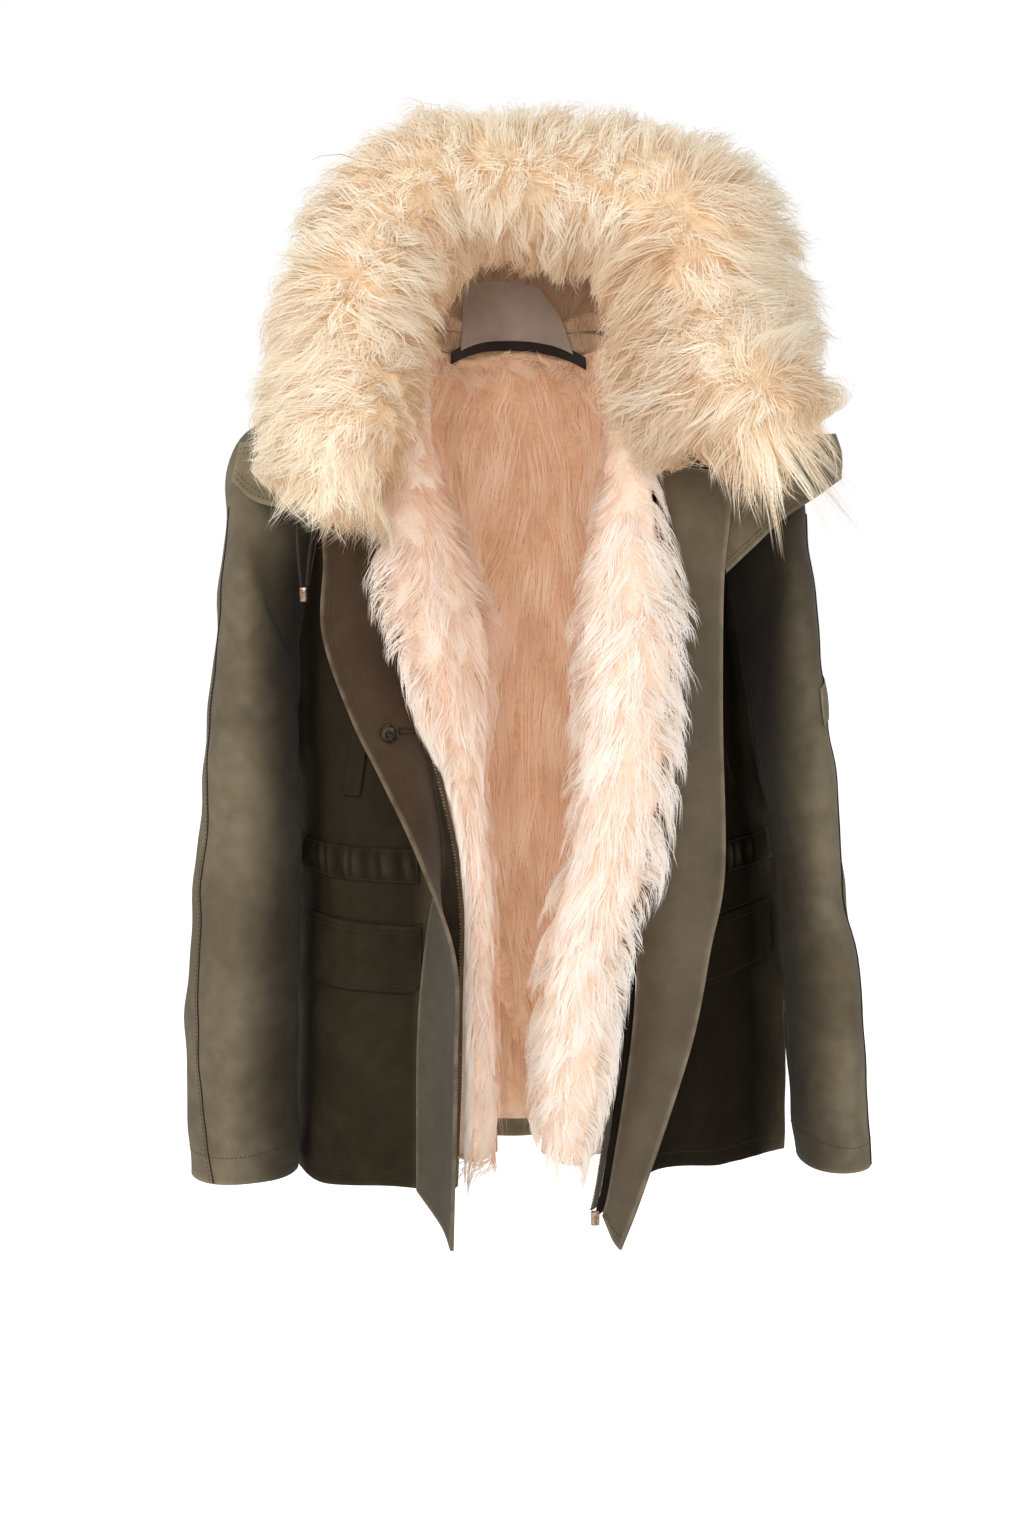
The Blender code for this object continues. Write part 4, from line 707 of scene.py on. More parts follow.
CREASES = (
    Fold("right elbow, upper", (-0.262, -0.080, -0.385), (-0.236, -0.094, -0.398), 0.010, -0.0016),
    Fold("right elbow, lower", (-0.268, -0.078, -0.468), (-0.246, -0.092, -0.488), 0.010, -0.0018),
    Fold("right cuff", (-0.275, -0.074, -0.690), (-0.226, -0.080, -0.706), 0.011, -0.0014),
    Fold("right sleeve, inner", (-0.206, -0.066, -0.430), (-0.238, -0.090, -0.470), 0.011, -0.0018),
    Fold("left elbow, upper", (0.224, -0.060, -0.430), (0.252, -0.088, -0.442), 0.010, -0.0018),
    Fold("left elbow, lower", (0.238, -0.066, -0.515), (0.268, -0.088, -0.535), 0.011, -0.0018),
    Fold("left cuff", (0.262, -0.074, -0.684), (0.305, -0.074, -0.700), 0.010, -0.0014),
    Fold("right pocket", (-0.160, -0.080, -0.640), (-0.110, -0.116, -0.690), 0.013, -0.0018),
    Fold("right side", (-0.186, -0.030, -0.400), (-0.172, -0.060, -0.520), 0.012, -0.0018),
    Fold("left pocket", (0.120, -0.120, -0.640), (0.180, -0.080, -0.690), 0.013, -0.0018),
    Fold("left side", (0.230, -0.020, -0.420), (0.220, -0.030, -0.540), 0.012, -0.0018),
    Fold("back, right waist", (-0.150, 0.070, -0.400), (-0.080, 0.090, -0.430), 0.013, -0.0018),
    Fold("back, left waist", (0.160, 0.070, -0.390), (0.085, 0.090, -0.425), 0.013, -0.0018),
    Fold("back, across", (-0.060, 0.100, -0.560), (0.050, 0.104, -0.585), 0.013, -0.0014),
    Fold("back, right low", (-0.160, 0.068, -0.640), (-0.100, 0.090, -0.700), 0.012, -0.0018),
    Fold("back, left low", (0.180, 0.070, -0.640), (0.130, 0.088, -0.700), 0.012, -0.0018),
    Fold("right arm behind", (-0.262, 0.014, -0.520), (-0.222, 0.018, -0.560), 0.011, -0.0018),
    Fold("left arm behind", (0.290, 0.014, -0.520), (0.246, 0.020, -0.560), 0.011, -0.0018),
    Fold("under the right arm", (-0.192, 0.000, -0.262), (-0.198, 0.020, -0.360), 0.026, 0.0060),
    Fold("under the left arm", (0.199, 0.000, -0.262), (0.214, 0.015, -0.350), 0.026, 0.0075),
)
# Slow unevenness of a worn cloth: directions and wave lengths in metres, heights in metres.
WAVES = np.array([(0.7, 0.2, 0.6, 0.090, 0.0008), (-0.5, 0.6, 0.8, 0.064, 0.0006),
                  (0.9, -0.3, -0.2, 0.071, 0.0006), (0.1, 0.5, 1.0, 0.047, 0.0004),
                  (0.8, 0.6, -0.7, 0.038, 0.0003)])


def relief(points):
    """Height of the cloth: each fold's depth times a bell of the distance to its line, plus waves."""
    total = np.zeros(points.shape[:-1])
    for fold in FOLDS + CREASES:
        start, end = np.array(fold.start), np.array(fold.end)
        along = clamp((points - start) @ (end - start) / ((end - start) @ (end - start)))
        distance = np.linalg.norm(points - start - along[..., None] * (end - start), axis=-1)
        total += fold.depth * np.exp(-(distance / fold.width) ** 2)
    heading = unit(WAVES[:, :3]) * (2 * math.pi / WAVES[:, 3:4])
    return total + np.sin(points @ heading.T + np.arange(len(WAVES))) @ WAVES[:, 4]


print("folds and creases:", len(FOLDS), "+", len(CREASES))

# %% [markdown]
# ## The shell's panels
#
# Fronts, back and sleeves are sewn along shared lines, so the panels take the same points and
# the same directions there. Each border then draws back a little from its seam line, which
# leaves the thin dark line that a seam shows.

# %% Shell grids
CLOTH = 0.0020          # thickness of the shell with its facing
SEAM_DRAW = 0.0003      # how far a border draws back from its seam line
ARMHOLE_DRAW = 0.0018   # the same for a sleeve's head
UP, ACROSS = 5, 4       # how many times finer than the CAD grid
ARMPIT = 12 * UP        # row where the armholes start
HOLE = 7 * UP           # segments up each side of an armhole
SIDE = 9 * ACROSS       # segments across a front, and along a shoulder
NAPE = 8 * ACROSS       # segments along the back neck
Panel = namedtuple("Panel", "out facing ups")
BODY_UPS = np.concatenate([np.linspace(0, 4, ARMPIT + 1), np.linspace(4, 7, HOLE + 1)[1:]])


def table(rows, *columns):
    return np.array([[getattr(row, column) for column in columns] for row in rows])


def fade(count, reach):
    """1 at the start of a line of points, falling smoothly to 0 at reach of its length."""
    return 1 - ease(clamp(np.linspace(0, 1, count) / reach))


def meet(grid, line, along, target):
    """Moves a border line of a grid onto target, and the points behind it by a fading share."""
    move = target - grid[line]
    shares = fade(grid.shape[along], 0.12)
    order = shares if line[along] == 0 else shares[::-1]
    shaped = order.reshape((-1, 1, 1) if along == 0 else (1, -1, 1))
    span = line[1 - along]
    if along == 0:
        grid[:, span] += shaped * move[None]
    else:
        grid[span] += shaped * move[:, None]


def body():
    """Right front, left front and back, with one line of points at each seam."""
    across = np.linspace(0, 3, SIDE + 1)
    right = sheet(FRONT_RIGHT, BODY_UPS, across)
    left = sheet(np.array(FRONT_LEFT)[:, ::-1], BODY_UPS, across)
    columns = np.concatenate([np.linspace(0, 1, SIDE + 1), np.linspace(1, 3, NAPE + 1)[1:],
                              np.linspace(3, 4, SIDE + 1)[1:]])
    rear = sheet(BACK, BODY_UPS, columns)
    meet(rear, (slice(0, ARMPIT + 1), 0), 1, left[:ARMPIT + 1, -1])
    meet(rear, (slice(0, ARMPIT + 1), -1), 1, right[:ARMPIT + 1, 0])
    meet(rear, (-1, slice(0, SIDE + 1)), 0, left[-1, ::-1])
    meet(rear, (-1, slice(-SIDE - 1, None)), 0, right[-1, ::-1])
    return right, left, rear


def sleeve(rings, front_hole, back_hole, side):
    """Front and back halves of a sleeve: ellipses from the cuff up, and the armhole last."""
    angles = np.linspace(math.pi, 3 * math.pi, 2 * HOLE + 1)
    stack = [np.stack([ring.x + ring.half_x * np.cos(angles), ring.y + ring.half_y * np.sin(angles),
                       ring.z + side * ring.lift * np.cos(angles)], axis=1) for ring in rings]
    first, second = (front_hole[::-1], back_hole) if side < 0 else (front_hole, back_hole[::-1])
    hole = np.concatenate([first, second[1:]])
    tube_grid = smooth(np.array(stack + [hole]), np.linspace(0, len(rings), 16 * UP + 1))
    return tube_grid[:, :HOLE + 1], tube_grid[:, HOLE:]


right_front, left_front, rear_panel = body()
right_sleeve = sleeve(SLEEVE_RIGHT, right_front[ARMPIT:, 0], rear_panel[ARMPIT:, -1], -1)
left_sleeve = sleeve(SLEEVE_LEFT, left_front[ARMPIT:, -1], rear_panel[ARMPIT:, 0], 1)
grids = {"front_right": right_front, "front_left": left_front, "back": rear_panel,
         "sleeve_front_right": right_sleeve[0], "sleeve_back_right": right_sleeve[1],
         "sleeve_front_left": left_sleeve[0], "sleeve_back_left": left_sleeve[1]}
print("grid sizes:", {name: grid.shape[:2] for name, grid in grids.items()})

# %% Seams and panels
LOW, HIGH = slice(0, ARMPIT + 1), slice(ARMPIT, None)
ALL, DOWN = slice(None), slice(None, None, -1)
# Each seam joins a line of one panel to a line of another, both read in the same direction.
SEAMS = (
    (("front_left", LOW, -1), ("back", LOW, 0)),
    (("front_right", LOW, 0), ("back", LOW, -1)),
    (("front_left", -1, DOWN), ("back", -1, slice(0, SIDE + 1))),
    (("front_right", -1, DOWN), ("back", -1, slice(-SIDE - 1, None))),
    (("sleeve_front_right", ALL, 0), ("sleeve_back_right", ALL, -1)),
    (("sleeve_front_right", ALL, -1), ("sleeve_back_right", ALL, 0)),
    (("sleeve_front_left", ALL, 0), ("sleeve_back_left", ALL, -1)),
    (("sleeve_front_left", ALL, -1), ("sleeve_back_left", ALL, 0)),
    (("sleeve_front_right", -1, DOWN), ("front_right", HIGH, 0)),
    (("sleeve_back_right", -1, ALL), ("back", HIGH, -1)),
    (("sleeve_front_left", -1, ALL), ("front_left", HIGH, -1)),
    (("sleeve_back_left", -1, DOWN), ("back", HIGH, 0)),
)
directions = {name: facing(grid) for name, grid in grids.items()}
for _ in range(2):
    for (first, *one), (second, *other) in SEAMS:
        mean = unit(directions[first][tuple(one)] + directions[second][tuple(other)])
        directions[first][tuple(one)] = mean
        directions[second][tuple(other)] = mean
ups = {name: BODY_UPS if "sleeve" not in name else np.linspace(0, 1, 16 * UP + 1) for name in grids}
panels = {name: Panel(grid + relief(grid)[..., None] * directions[name], directions[name], ups[name])
          for name, grid in grids.items()}


def draw_back(grid, edges):
    """Draws borders in from their seams: l, r, t for left, right and top, h for a sleeve's head."""
    grid = grid.copy()
    for side, border, inner, draw in (("l", np.s_[:, 0], np.s_[:, 1], SEAM_DRAW),
                                      ("r", np.s_[:, -1], np.s_[:, -2], SEAM_DRAW),
                                      ("t", np.s_[-1], np.s_[-2], SEAM_DRAW),
                                      ("h", np.s_[-1], np.s_[-2], ARMHOLE_DRAW)):
        if side in edges:
            grid[border] = grid[border] + draw * unit(grid[inner] - grid[border])
    return grid


# %% [markdown]
# ## Shade and puckers
#
# The fronts lie in the deep shade between sleeve and storm flap, and that shade is painted into
# their colour: a mark on their points tells the material how much to paint, and the sleeves carry
# the same painted shade on the side towards the body. The waist cord draws the cloth up, so short
# puckers run up and down from it.

# %% Marks of shade
# How much shade is painted into each front's colour.
PAINTED_SHADE_PANELS = {"front_right": (0.66, 0.16), "front_left": (0.84, 0.14)}    # deep, and its gain up the coat
BESIDE_ZIP = 0.84       # share of the right front's width from which it lies open beside the zip
ZIP_FADE, ZIP_LIGHT = 0.03, 0.75    # half of the fade there, and the shade that it takes away
SLEEVE_PAINTED_SHADE = 0.62       # shade on the inner side of a sleeve, where it lies against the body
HIGH_PAINTED_SHADE = {-1: 0.12, 1: 0.58}      # what is added high up on each sleeve
MOST_SHADE = 0.85


def painted_shade(points, deep, gain):
    """How much shade is painted at a place: deep towards the front edge, with a gain from hem to chest."""
    ahead = clamp((0.02 - points[..., 1]) / 0.05)
    return ahead * (deep + gain * clamp((points[..., 2] + 0.75) / 0.50))


def shade_piece(piece, node, lit):
    """Stores the painted shade on a piece of a front; lit takes some of it away."""
    if node in PAINTED_SHADE_PANELS:
        store(piece.data, "painted_shade", painted_shade(points_of(piece), *PAINTED_SHADE_PANELS[node]) * (1 - lit))


def shade_sleeve(piece, side):
    """Painted shade towards a sleeve's inner front, deeper high up on the wearer's left."""
    x, y, z = points_of(piece).T
    rings = SLEEVE_RIGHT if side < 0 else SLEEVE_LEFT
    middle = np.interp(z, [ring.z for ring in rings], [ring.x for ring in rings])
    inner = clamp((-side * (x - middle) + 0.006) / 0.036) * clamp((0.02 - y) / 0.04)
    high = clamp((z + 0.42) / 0.20) * HIGH_PAINTED_SHADE[side]
    store(piece.data, "painted_shade", np.clip(SLEEVE_PAINTED_SHADE * inner + high * (y < 0.0), 0, MOST_SHADE))


def cloth_of(node):
    return SHADED if node in PAINTED_SHADE_PANELS else SHELL


print("shaded panels:", list(PAINTED_SHADE_PANELS))

# %% Puckers at the waist
WAIST_UP = 2.01         # table row of the waist cord
PUCKERS = {"front_right": 9, "front_left": 9, "back": 19}
PUCKER_DEEP, PUCKER_WIDE = (0.0010, 0.0030), (0.018, 0.030)     # in metres, and as shares of the width
PUCKER_REACH = (0.12, 0.34)     # in table rows
PLACE_SPREAD, LEAN_SPREAD = 0.016, 0.07
rng = np.random.default_rng(23)
for node, count in PUCKERS.items():
    panel = panels[node]
    share = np.linspace(0, 1, panel.out.shape[1])[None, :]
    up = np.asarray(panel.ups)[:, None] - WAIST_UP
    for middle in np.linspace(0.06, 0.94, count) + rng.normal(0, PLACE_SPREAD, count):
        deep, wide, lean = rng.uniform(*PUCKER_DEEP), rng.uniform(*PUCKER_WIDE), rng.normal(0, LEAN_SPREAD)
        reach = np.where(up > 0, rng.uniform(*PUCKER_REACH), rng.uniform(*PUCKER_REACH))
        ridge = deep * np.exp(-((share - middle - lean * up) / wide) ** 2) * np.exp(-(up / reach) ** 2)
        panel.out[...] += ridge[..., None] * panel.facing
print("puckers:", sum(PUCKERS.values()))


# %% Walls of the shell
def cloth_wall(name, node, panel, edges):
    """Wall of a panel, with its marked edges drawn back from their seams."""
    outer = draw_back(panel.out, edges)
    inner = draw_back(panel.out - CLOTH * panel.facing, edges)
    piece = tailor(name, outer, inner, cloth_of(node), "shell_twill", [node])
    rows, columns = outer.shape[:2]
    # On the right front the painted shade fades out where the cloth lies open beside the zip.
    near_zip = clamp((np.linspace(0, 1, columns) - BESIDE_ZIP + ZIP_FADE) / (2 * ZIP_FADE))
    shade_piece(piece, node, ZIP_LIGHT * np.tile(near_zip, 2 * rows) * (node == "front_right"))
    return piece


for node, edges in (("front_right", "lt"), ("front_left", "rt"), ("back", "lrt")):
    cloth_wall(f"shell_{node}", node, panels[node], edges)
for side_name, side in SIDES.items():
    for node in (f"sleeve_front_{side_name}", f"sleeve_back_{side_name}"):
        shade_sleeve(cloth_wall(f"shell_{node}", node, panels[node], "lrh"), side)

# %% [markdown]
# ## What is laid on the panels
#
# Seam cords, pocket flaps, hand pocket welts and the waist casing are read from the points of the
# panel that carries them, moved out, so they follow every fold.

# %% Reading a panel
LAY = 0.0012            # clearance under what is laid on a panel
RIM_ROUND = 0.0015      # width over which a laid piece thins towards its rim


def on(panel, up, share, lift):
    """Points of a panel at table rows and shares of its width, moved out by lift."""
    up, share = np.broadcast_arrays(np.asarray(up, float), np.asarray(share, float))
    rows, columns = panel.out.shape[:2]
    place = np.interp(up, panel.ups, np.arange(rows)), clamp(share) * (columns - 1)
    return read(panel.out, *place) + np.asarray(lift)[..., None] * unit(read(panel.facing, *place))


def line_on(panel, up, share, lift):
    """A line on a panel, and the directions out of the panel along it."""
    return on(panel, up, share, lift), on(panel, up, share, 1.0) - on(panel, up, share, 0.0)


def patch(name, node, under, up, share, thickness, raised=0.0, lit=0.0):
    """A piece laid on the panel named under: rounded at its rim by thinning the last few points."""
    low = on(panels[under], up, share, LAY)
    round_off = np.sqrt(np.clip(cut(low)[1] / RIM_ROUND, 0.15, 1.0))
    high = on(panels[under], up, share, LAY + thickness * round_off + raised)
    piece = tailor(name, high, low, cloth_of(under), "shell_twill", [node], rests_on=[node])
    shade_piece(piece, under, lit)


def close_ends(first, last, count, margin=0.004):
    """Steps from first to last with a close pair at each end, for a rounded rim."""
    middle = np.linspace(first, last, count)
    reach = (last - first) * margin
    return np.concatenate([[first, first + reach], middle[1:-1], [last - reach, last]])


print("front middle:", on(panels["front_right"], 2.0, 0.5, 0.0).round(3))

# %% [markdown]
# ## Corded seams
#
# Beside each storm flap and down the front of each sleeve runs a raised seam, drawn as a thin dark
# cord. Behind a sleeve's two side seams lies its allowance, which closes the gap between the two
# halves from a little above the cuff. A cord's line is read at even steps of its list of shares.

# %% Seam cords
DARK_SEAM = thread("dark_seam", (0.034, 0.025, 0.015))
SEAM_POINTS = 110
CORD_LIFT = 0.0003      # how far a seam's cord lies above the cloth
ALLOWANCE_DEPTH, ALLOWANCE_RADIUS = 0.0012, 0.0011
SeamCord = namedtuple("SeamCord", "name panel ups shares radius")
SEAM_CORDS = (
    SeamCord("seam_of_right_sleeve", "sleeve_front_right", (0.004, 0.80), (0.34, 0.24, 0.19, 0.17), 0.0007),
    SeamCord("seam_of_left_sleeve", "sleeve_front_left", (0.004, 0.80), (0.80, 0.80, 0.80, 0.80), 0.0008),
    SeamCord("seam_beside_right_flap", "front_right", (0.02, 1.86), (0.925, 0.925, 0.925, 0.92), 0.0006),
    SeamCord("seam_beside_left_flap", "front_left", (0.02, 1.86), (0.075, 0.075, 0.075, 0.08), 0.0006),
)


def seam_path(cord, aside=0.0, lift=CORD_LIFT):
    """Line of a corded seam on its panel, moved aside by metres across it."""
    up = np.linspace(*cord.ups, SEAM_POINTS)
    panel = panels[cord.panel]
    width = np.interp(up, panel.ups, measure(panel.out, 1)[:, -1])
    share = smooth(cord.shares, np.linspace(0, len(cord.shares) - 1, SEAM_POINTS)) + aside / width
    return line_on(panel, up, share, lift)


def seam_cord(name, line, radius):
    show(tube(name, line, radius, 6), DARK_SEAM, "shell_twill", sharp=0)


for node in ("sleeve_front_right", "sleeve_front_left"):
    for edge in (0.0, 1.0):
        line = on(panels[node], np.linspace(0.02, 0.9, 60), edge, -ALLOWANCE_DEPTH)
        seam_cord(f"allowance_of_{node}_{edge:.0f}", line, ALLOWANCE_RADIUS)
for cord in SEAM_CORDS:
    seam_cord(cord.name, seam_path(cord)[0], cord.radius)
print("seam cords:", [cord.name for cord in SEAM_CORDS])

# %% [markdown]
# ## Casing, pocket flaps and welts
#
# The casing's outer face rises in gathers, some deep and some shallow, because a cord inside
# draws it up unevenly. The lower corners of a pocket flap are quarter ellipses, so its ends draw
# in towards its lower edge.

# %% Gathers of the casing
CASING_UP = (1.90, 2.12)
CASING_THICK, GATHER_HIGH = 0.0012, 0.0036
SWING_SPREAD, GATHER_HEIGHTS = 0.36, (0.25, 1.0)    # of one gather from the next, and shares of its height
# On the fronts a gather's crest takes painted shade away and its trough gets more of it.
CREST_LIGHT, TROUGH_SHADE = 0.50, 0.12      # shade taken from a gather's crest and added in its trough
Gather = namedtuple("Gather", "node count first last")
GATHERS = (Gather("back", 26, 0.004, 0.996), Gather("front_right", 11, 0.004, 0.836),
           Gather("front_left", 13, 0.204, 0.996))
rng = np.random.default_rng(7)
for gather in GATHERS:
    share = close_ends(gather.first, gather.last, gather.count * 7)
    up = close_ends(*CASING_UP, 11, 0.03)
    turn = (share - gather.first) / (gather.last - gather.first) * gather.count
    creases = np.arange(gather.count + 1)
    swing = np.interp(turn, creases, rng.normal(0, SWING_SPREAD, gather.count + 1))
    height = np.interp(turn, creases, rng.uniform(*GATHER_HEIGHTS, gather.count + 1))
    lean = swing[None, :] + 0.25 * np.sin(np.linspace(0, 2, len(up)))[:, None]
    rise = np.clip((up - CASING_UP[0]) / (CASING_UP[1] - CASING_UP[0]), 0.04, 0.96)
    swell = np.sin(np.pi * rise)[:, None]
    wave = (0.5 + 0.5 * np.sin(2 * math.pi * (turn[None, :] + lean))) * height[None, :] * swell
    place = gather.node.removeprefix("front_")
    patch(f"gathers_{place}", f"casing_{place}", gather.node, up[:, None], share[None, :], CASING_THICK,
          GATHER_HIGH * wave, np.tile((CREST_LIGHT * wave - TROUGH_SHADE).ravel(), 2))

# %% Pocket flaps and welts
POCKET_FLAP_UP, POCKET_FLAP_THICK = (1.24, 1.64), 0.0024
WELT_UP, WELT_WIDTH, WELT_THICK = (2.46, 3.04), 0.113, 0.0026
Pocket = namedtuple("Pocket", "side flap_first flap_last welt_low welt_high")
POCKETS = (Pocket("right", 0.178, 0.845, 0.444, 0.578), Pocket("left", 0.211, 0.933, 0.667, 0.533))
FLAP_CORNER = (0.11, 0.060)       # a corner's height in rows and its width as a share of the panel
OVER_FLAP = 0.018       # rows from a pocket flap's upper edge to the seam over it
SLEEVE_PATCH = (0.5625, 0.603), (0.643, 0.957)      # the rows and the shares that it covers


def round_corner(up):
    """How far a pocket flap's ends draw in at a height: a quarter ellipse at the lower corners."""
    near = clamp(1 - (up - POCKET_FLAP_UP[0]) / FLAP_CORNER[0])
    return FLAP_CORNER[1] * (1 - np.sqrt(1 - near ** 2))


for pocket in POCKETS:
    front = f"front_{pocket.side}"
    up = close_ends(*POCKET_FLAP_UP, 20, 0.02)
    narrow = round_corner(up)[:, None]
    share = close_ends(0.0, 1.0, 30)[None, :]
    share = pocket.flap_first + narrow + share * (pocket.flap_last - pocket.flap_first - 2 * narrow)
    patch(f"flap_of_{pocket.side}_pocket", f"pocket_flap_{pocket.side}", front, up[:, None] + 0 * share,
          share, POCKET_FLAP_THICK)
    along = np.linspace(pocket.flap_first, pocket.flap_last, 60)
    line = on(panels[front], POCKET_FLAP_UP[1] + OVER_FLAP, along, CORD_LIFT)
    seam_cord(f"seam_over_{pocket.side}_pocket", line, 0.0006)
    up = close_ends(*WELT_UP, 20, 0.02)
    start = np.interp(up, WELT_UP, (pocket.welt_low, pocket.welt_high))[:, None]
    share = start + close_ends(0.0, WELT_WIDTH, 8, 0.05)[None, :]
    patch(f"welt_of_{pocket.side}_pocket", f"welt_{pocket.side}", front, up[:, None], share, WELT_THICK)
patch("patch_of_left_sleeve", "sleeve_patch", "sleeve_front_left",
      close_ends(*SLEEVE_PATCH[0], 8, 0.03)[:, None], close_ends(*SLEEVE_PATCH[1], 10, 0.03)[None, :], 0.0010)

# %% [markdown]
# ## Storm flaps and zip
#
# The flaps that cover the zip are folded back here, so their inner faces show: brown on the
# wearer's right, dusty grey-green on the left. A flap is a smooth sheet from its root on the
# front, through its middle, to its free edge, which is bound and therefore thicker. From the
# pocket to the chest the right flap's root lies nearer to the zip than in the CAD part.

# %% Flap tables
FlapRow = namedtuple("FlapRow", "up root middle free")
FLAP_RIGHT = (
    FlapRow(0.00, 2.52, (-0.073, -0.160, -0.752), (-0.067, -0.198, -0.759)),
    FlapRow(1.00, 2.52, (-0.068, -0.158, -0.610), (-0.063, -0.191, -0.610)),
    FlapRow(1.60, 2.62, (-0.070, -0.158, -0.523), (-0.064, -0.189, -0.523)),
    FlapRow(2.12, 2.86, (-0.078, -0.160, -0.447), (-0.091, -0.180, -0.445)),
    FlapRow(2.62, 2.94, (-0.092, -0.158, -0.384), (-0.122, -0.168, -0.380)),
    FlapRow(3.05, 2.95, (-0.115, -0.154, -0.334), (-0.146, -0.156, -0.332)),
    FlapRow(3.80, 2.97, (-0.138, -0.139, -0.266), (-0.169, -0.138, -0.265)),
    FlapRow(4.45, 2.98, (-0.146, -0.119, -0.204), (-0.168, -0.118, -0.204)),
    FlapRow(4.95, 2.98, (-0.151, -0.106, -0.158), (-0.172, -0.101, -0.158)),
)
FLAP_LEFT = (
    FlapRow(0.00, 2.94, (0.064, -0.188, -0.757), (0.068, -0.200, -0.761)),
    FlapRow(0.22, 2.94, (0.074, -0.184, -0.716), (0.088, -0.196, -0.712)),
    FlapRow(1.00, 2.94, (0.104, -0.178, -0.602), (0.128, -0.182, -0.602)),
    FlapRow(1.55, 2.94, (0.115, -0.172, -0.524), (0.146, -0.170, -0.522)),
    FlapRow(2.00, 2.94, (0.122, -0.166, -0.458), (0.159, -0.160, -0.458)),
    FlapRow(3.00, 2.94, (0.124, -0.158, -0.342), (0.158, -0.150, -0.342)),
    FlapRow(3.80, 2.94, (0.130, -0.148, -0.268), (0.159, -0.141, -0.268)),
    FlapRow(4.40, 2.94, (0.133, -0.130, -0.210), (0.163, -0.126, -0.212)),
    FlapRow(4.95, 2.94, (0.139, -0.112, -0.158), (0.172, -0.104, -0.160)),
    FlapRow(5.40, 2.94, (0.141, -0.102, -0.126), (0.170, -0.099, -0.130)),
)
FLAP_THICK = 0.0024
FLAP_STAND = 0.0016     # clearance of a flap's root in front of its panel
BINDING, BINDING_RISE = 0.004, 0.0008      # width and height of the bound edge
print("flap rows:", len(FLAP_RIGHT), len(FLAP_LEFT))


# %% Flaps
def front_share(side, column):
    """Share of a front's width, from a table column counted from its side seam."""
    return np.asarray(column) / 3 if side < 0 else 1 - np.asarray(column) / 3


def flap_grid(rows, panel, side, across):
    """Grid of a flap, from its root (0) to its free edge (2)."""
    stand = FLAP_STAND + FLAP_THICK
    roots = on(panel, [row.up for row in rows], front_share(side, [row.root for row in rows]), stand)
    net = np.stack([roots, table(rows, "middle")[:, 0], table(rows, "free")[:, 0]], axis=1)
    return sheet(net, np.linspace(0, len(rows) - 1, 121), across)


flaps = {}
FLAP_ACROSS = np.concatenate([np.linspace(0, 1.78, 14), np.linspace(1.84, 2.0, 6)])
for (side_name, side), rows, material in zip(SIDES.items(), (FLAP_RIGHT, FLAP_LEFT), (FACING, LAPEL)):
    grid = flap_grid(rows, panels[f"front_{side_name}"], side, FLAP_ACROSS)
    out = side * facing(grid)
    bead = BINDING_RISE * (1 - clamp((cut(grid)[1] - 0.0005) / BINDING) ** 4)
    flaps[side_name] = Panel(grid, out, np.linspace(0, 1, len(grid)))
    tailor(f"storm_flap_{side_name}", grid + bead[..., None] * out, grid - (FLAP_THICK - 0.0002) * out,
           material, "facing_twill", [f"flap_{side_name}"])

# %% [markdown]
# ## The zip
#
# Each tape stands forward from the front edge of its panel and carries a row of metal teeth on
# its free edge. One small block is repeated along the edge.

# %% Zip tapes and teeth
ZIP_TAPE, ZIP_THICK, ZIP_CLEAR = 0.009, 0.0014, 0.0016
ZIP_AIMS = {-1: (-0.35, -0.94), 1: (0.55, -0.84)}      # the way each tape stands: inwards and forward
ZIP_SPAN = (0.06, 4.90)     # in body rows
TOOTH = np.array((0.0030, 0.0014, 0.0013))      # across the edge, along it, and thick
TOOTH_PITCH = 0.0028


def blocks(name, at, axes, size):
    """Joined small blocks: eight corners and six faces each, turned to their own axes."""
    sign = np.array([(x, y, z) for z in (-0.5, 0.5) for y in (-0.5, 0.5) for x in (-0.5, 0.5)])
    corners = np.einsum("kc,nci->nki", sign * size, axes) + at[:, None]
    box = np.array([(0, 2, 3, 1), (4, 5, 7, 6), (0, 1, 5, 4), (2, 6, 7, 3), (0, 4, 6, 2), (1, 3, 7, 5)])
    faces = (box[None] + 8 * np.arange(len(at))[:, None, None]).reshape(-1, 4)
    return mesh_of(name, corners.reshape(-1, 3), [faces])


def spaced(path, pitch, *others):
    """The path at even distances, its direction there, and other lines of points at the same marks."""
    along = measure(path[:, None], 0)[:, 0]
    marks = np.arange(pitch / 2, along[-1], pitch)
    points, *others = (np.stack([np.interp(marks, along, some[:, k]) for k in range(3)], axis=1)
                       for some in (path, *others))
    return points, unit(np.gradient(points, axis=0)), *others


for side_name, side in SIDES.items():
    start = on(panels[f"front_{side_name}"], np.linspace(*ZIP_SPAN, 90), front_share(side, 3.0), 0.0)
    start = start - np.array([side * ZIP_CLEAR, 0, 0])
    inward = np.array([-side * ZIP_AIMS[side][0], ZIP_AIMS[side][1], 0.0])
    tape = start[:, None] + np.linspace(0, ZIP_TAPE, 5)[None, :, None] * inward
    behind = side * ZIP_THICK * np.array([inward[1], -inward[0], 0.0])
    tailor(f"tape_of_zip_{side_name}", tape, tape + behind, ZIP_CLOTH, "zip_tape", [f"zip_tape_{side_name}"])
    at, ahead = spaced(tape[:, -1] + behind / 2, TOOTH_PITCH)
    axes = np.stack([np.broadcast_to(inward, at.shape), ahead, unit(np.cross(inward, ahead))], axis=1)
    show(blocks(f"teeth_of_zip_{side_name}", at, axes, TOOTH), METAL, "dark_metal", sharp=30.0)
    print("teeth on the", side_name, "tape:", len(at))
zip_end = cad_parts["zip_end"]
zip_end.data.materials.clear()
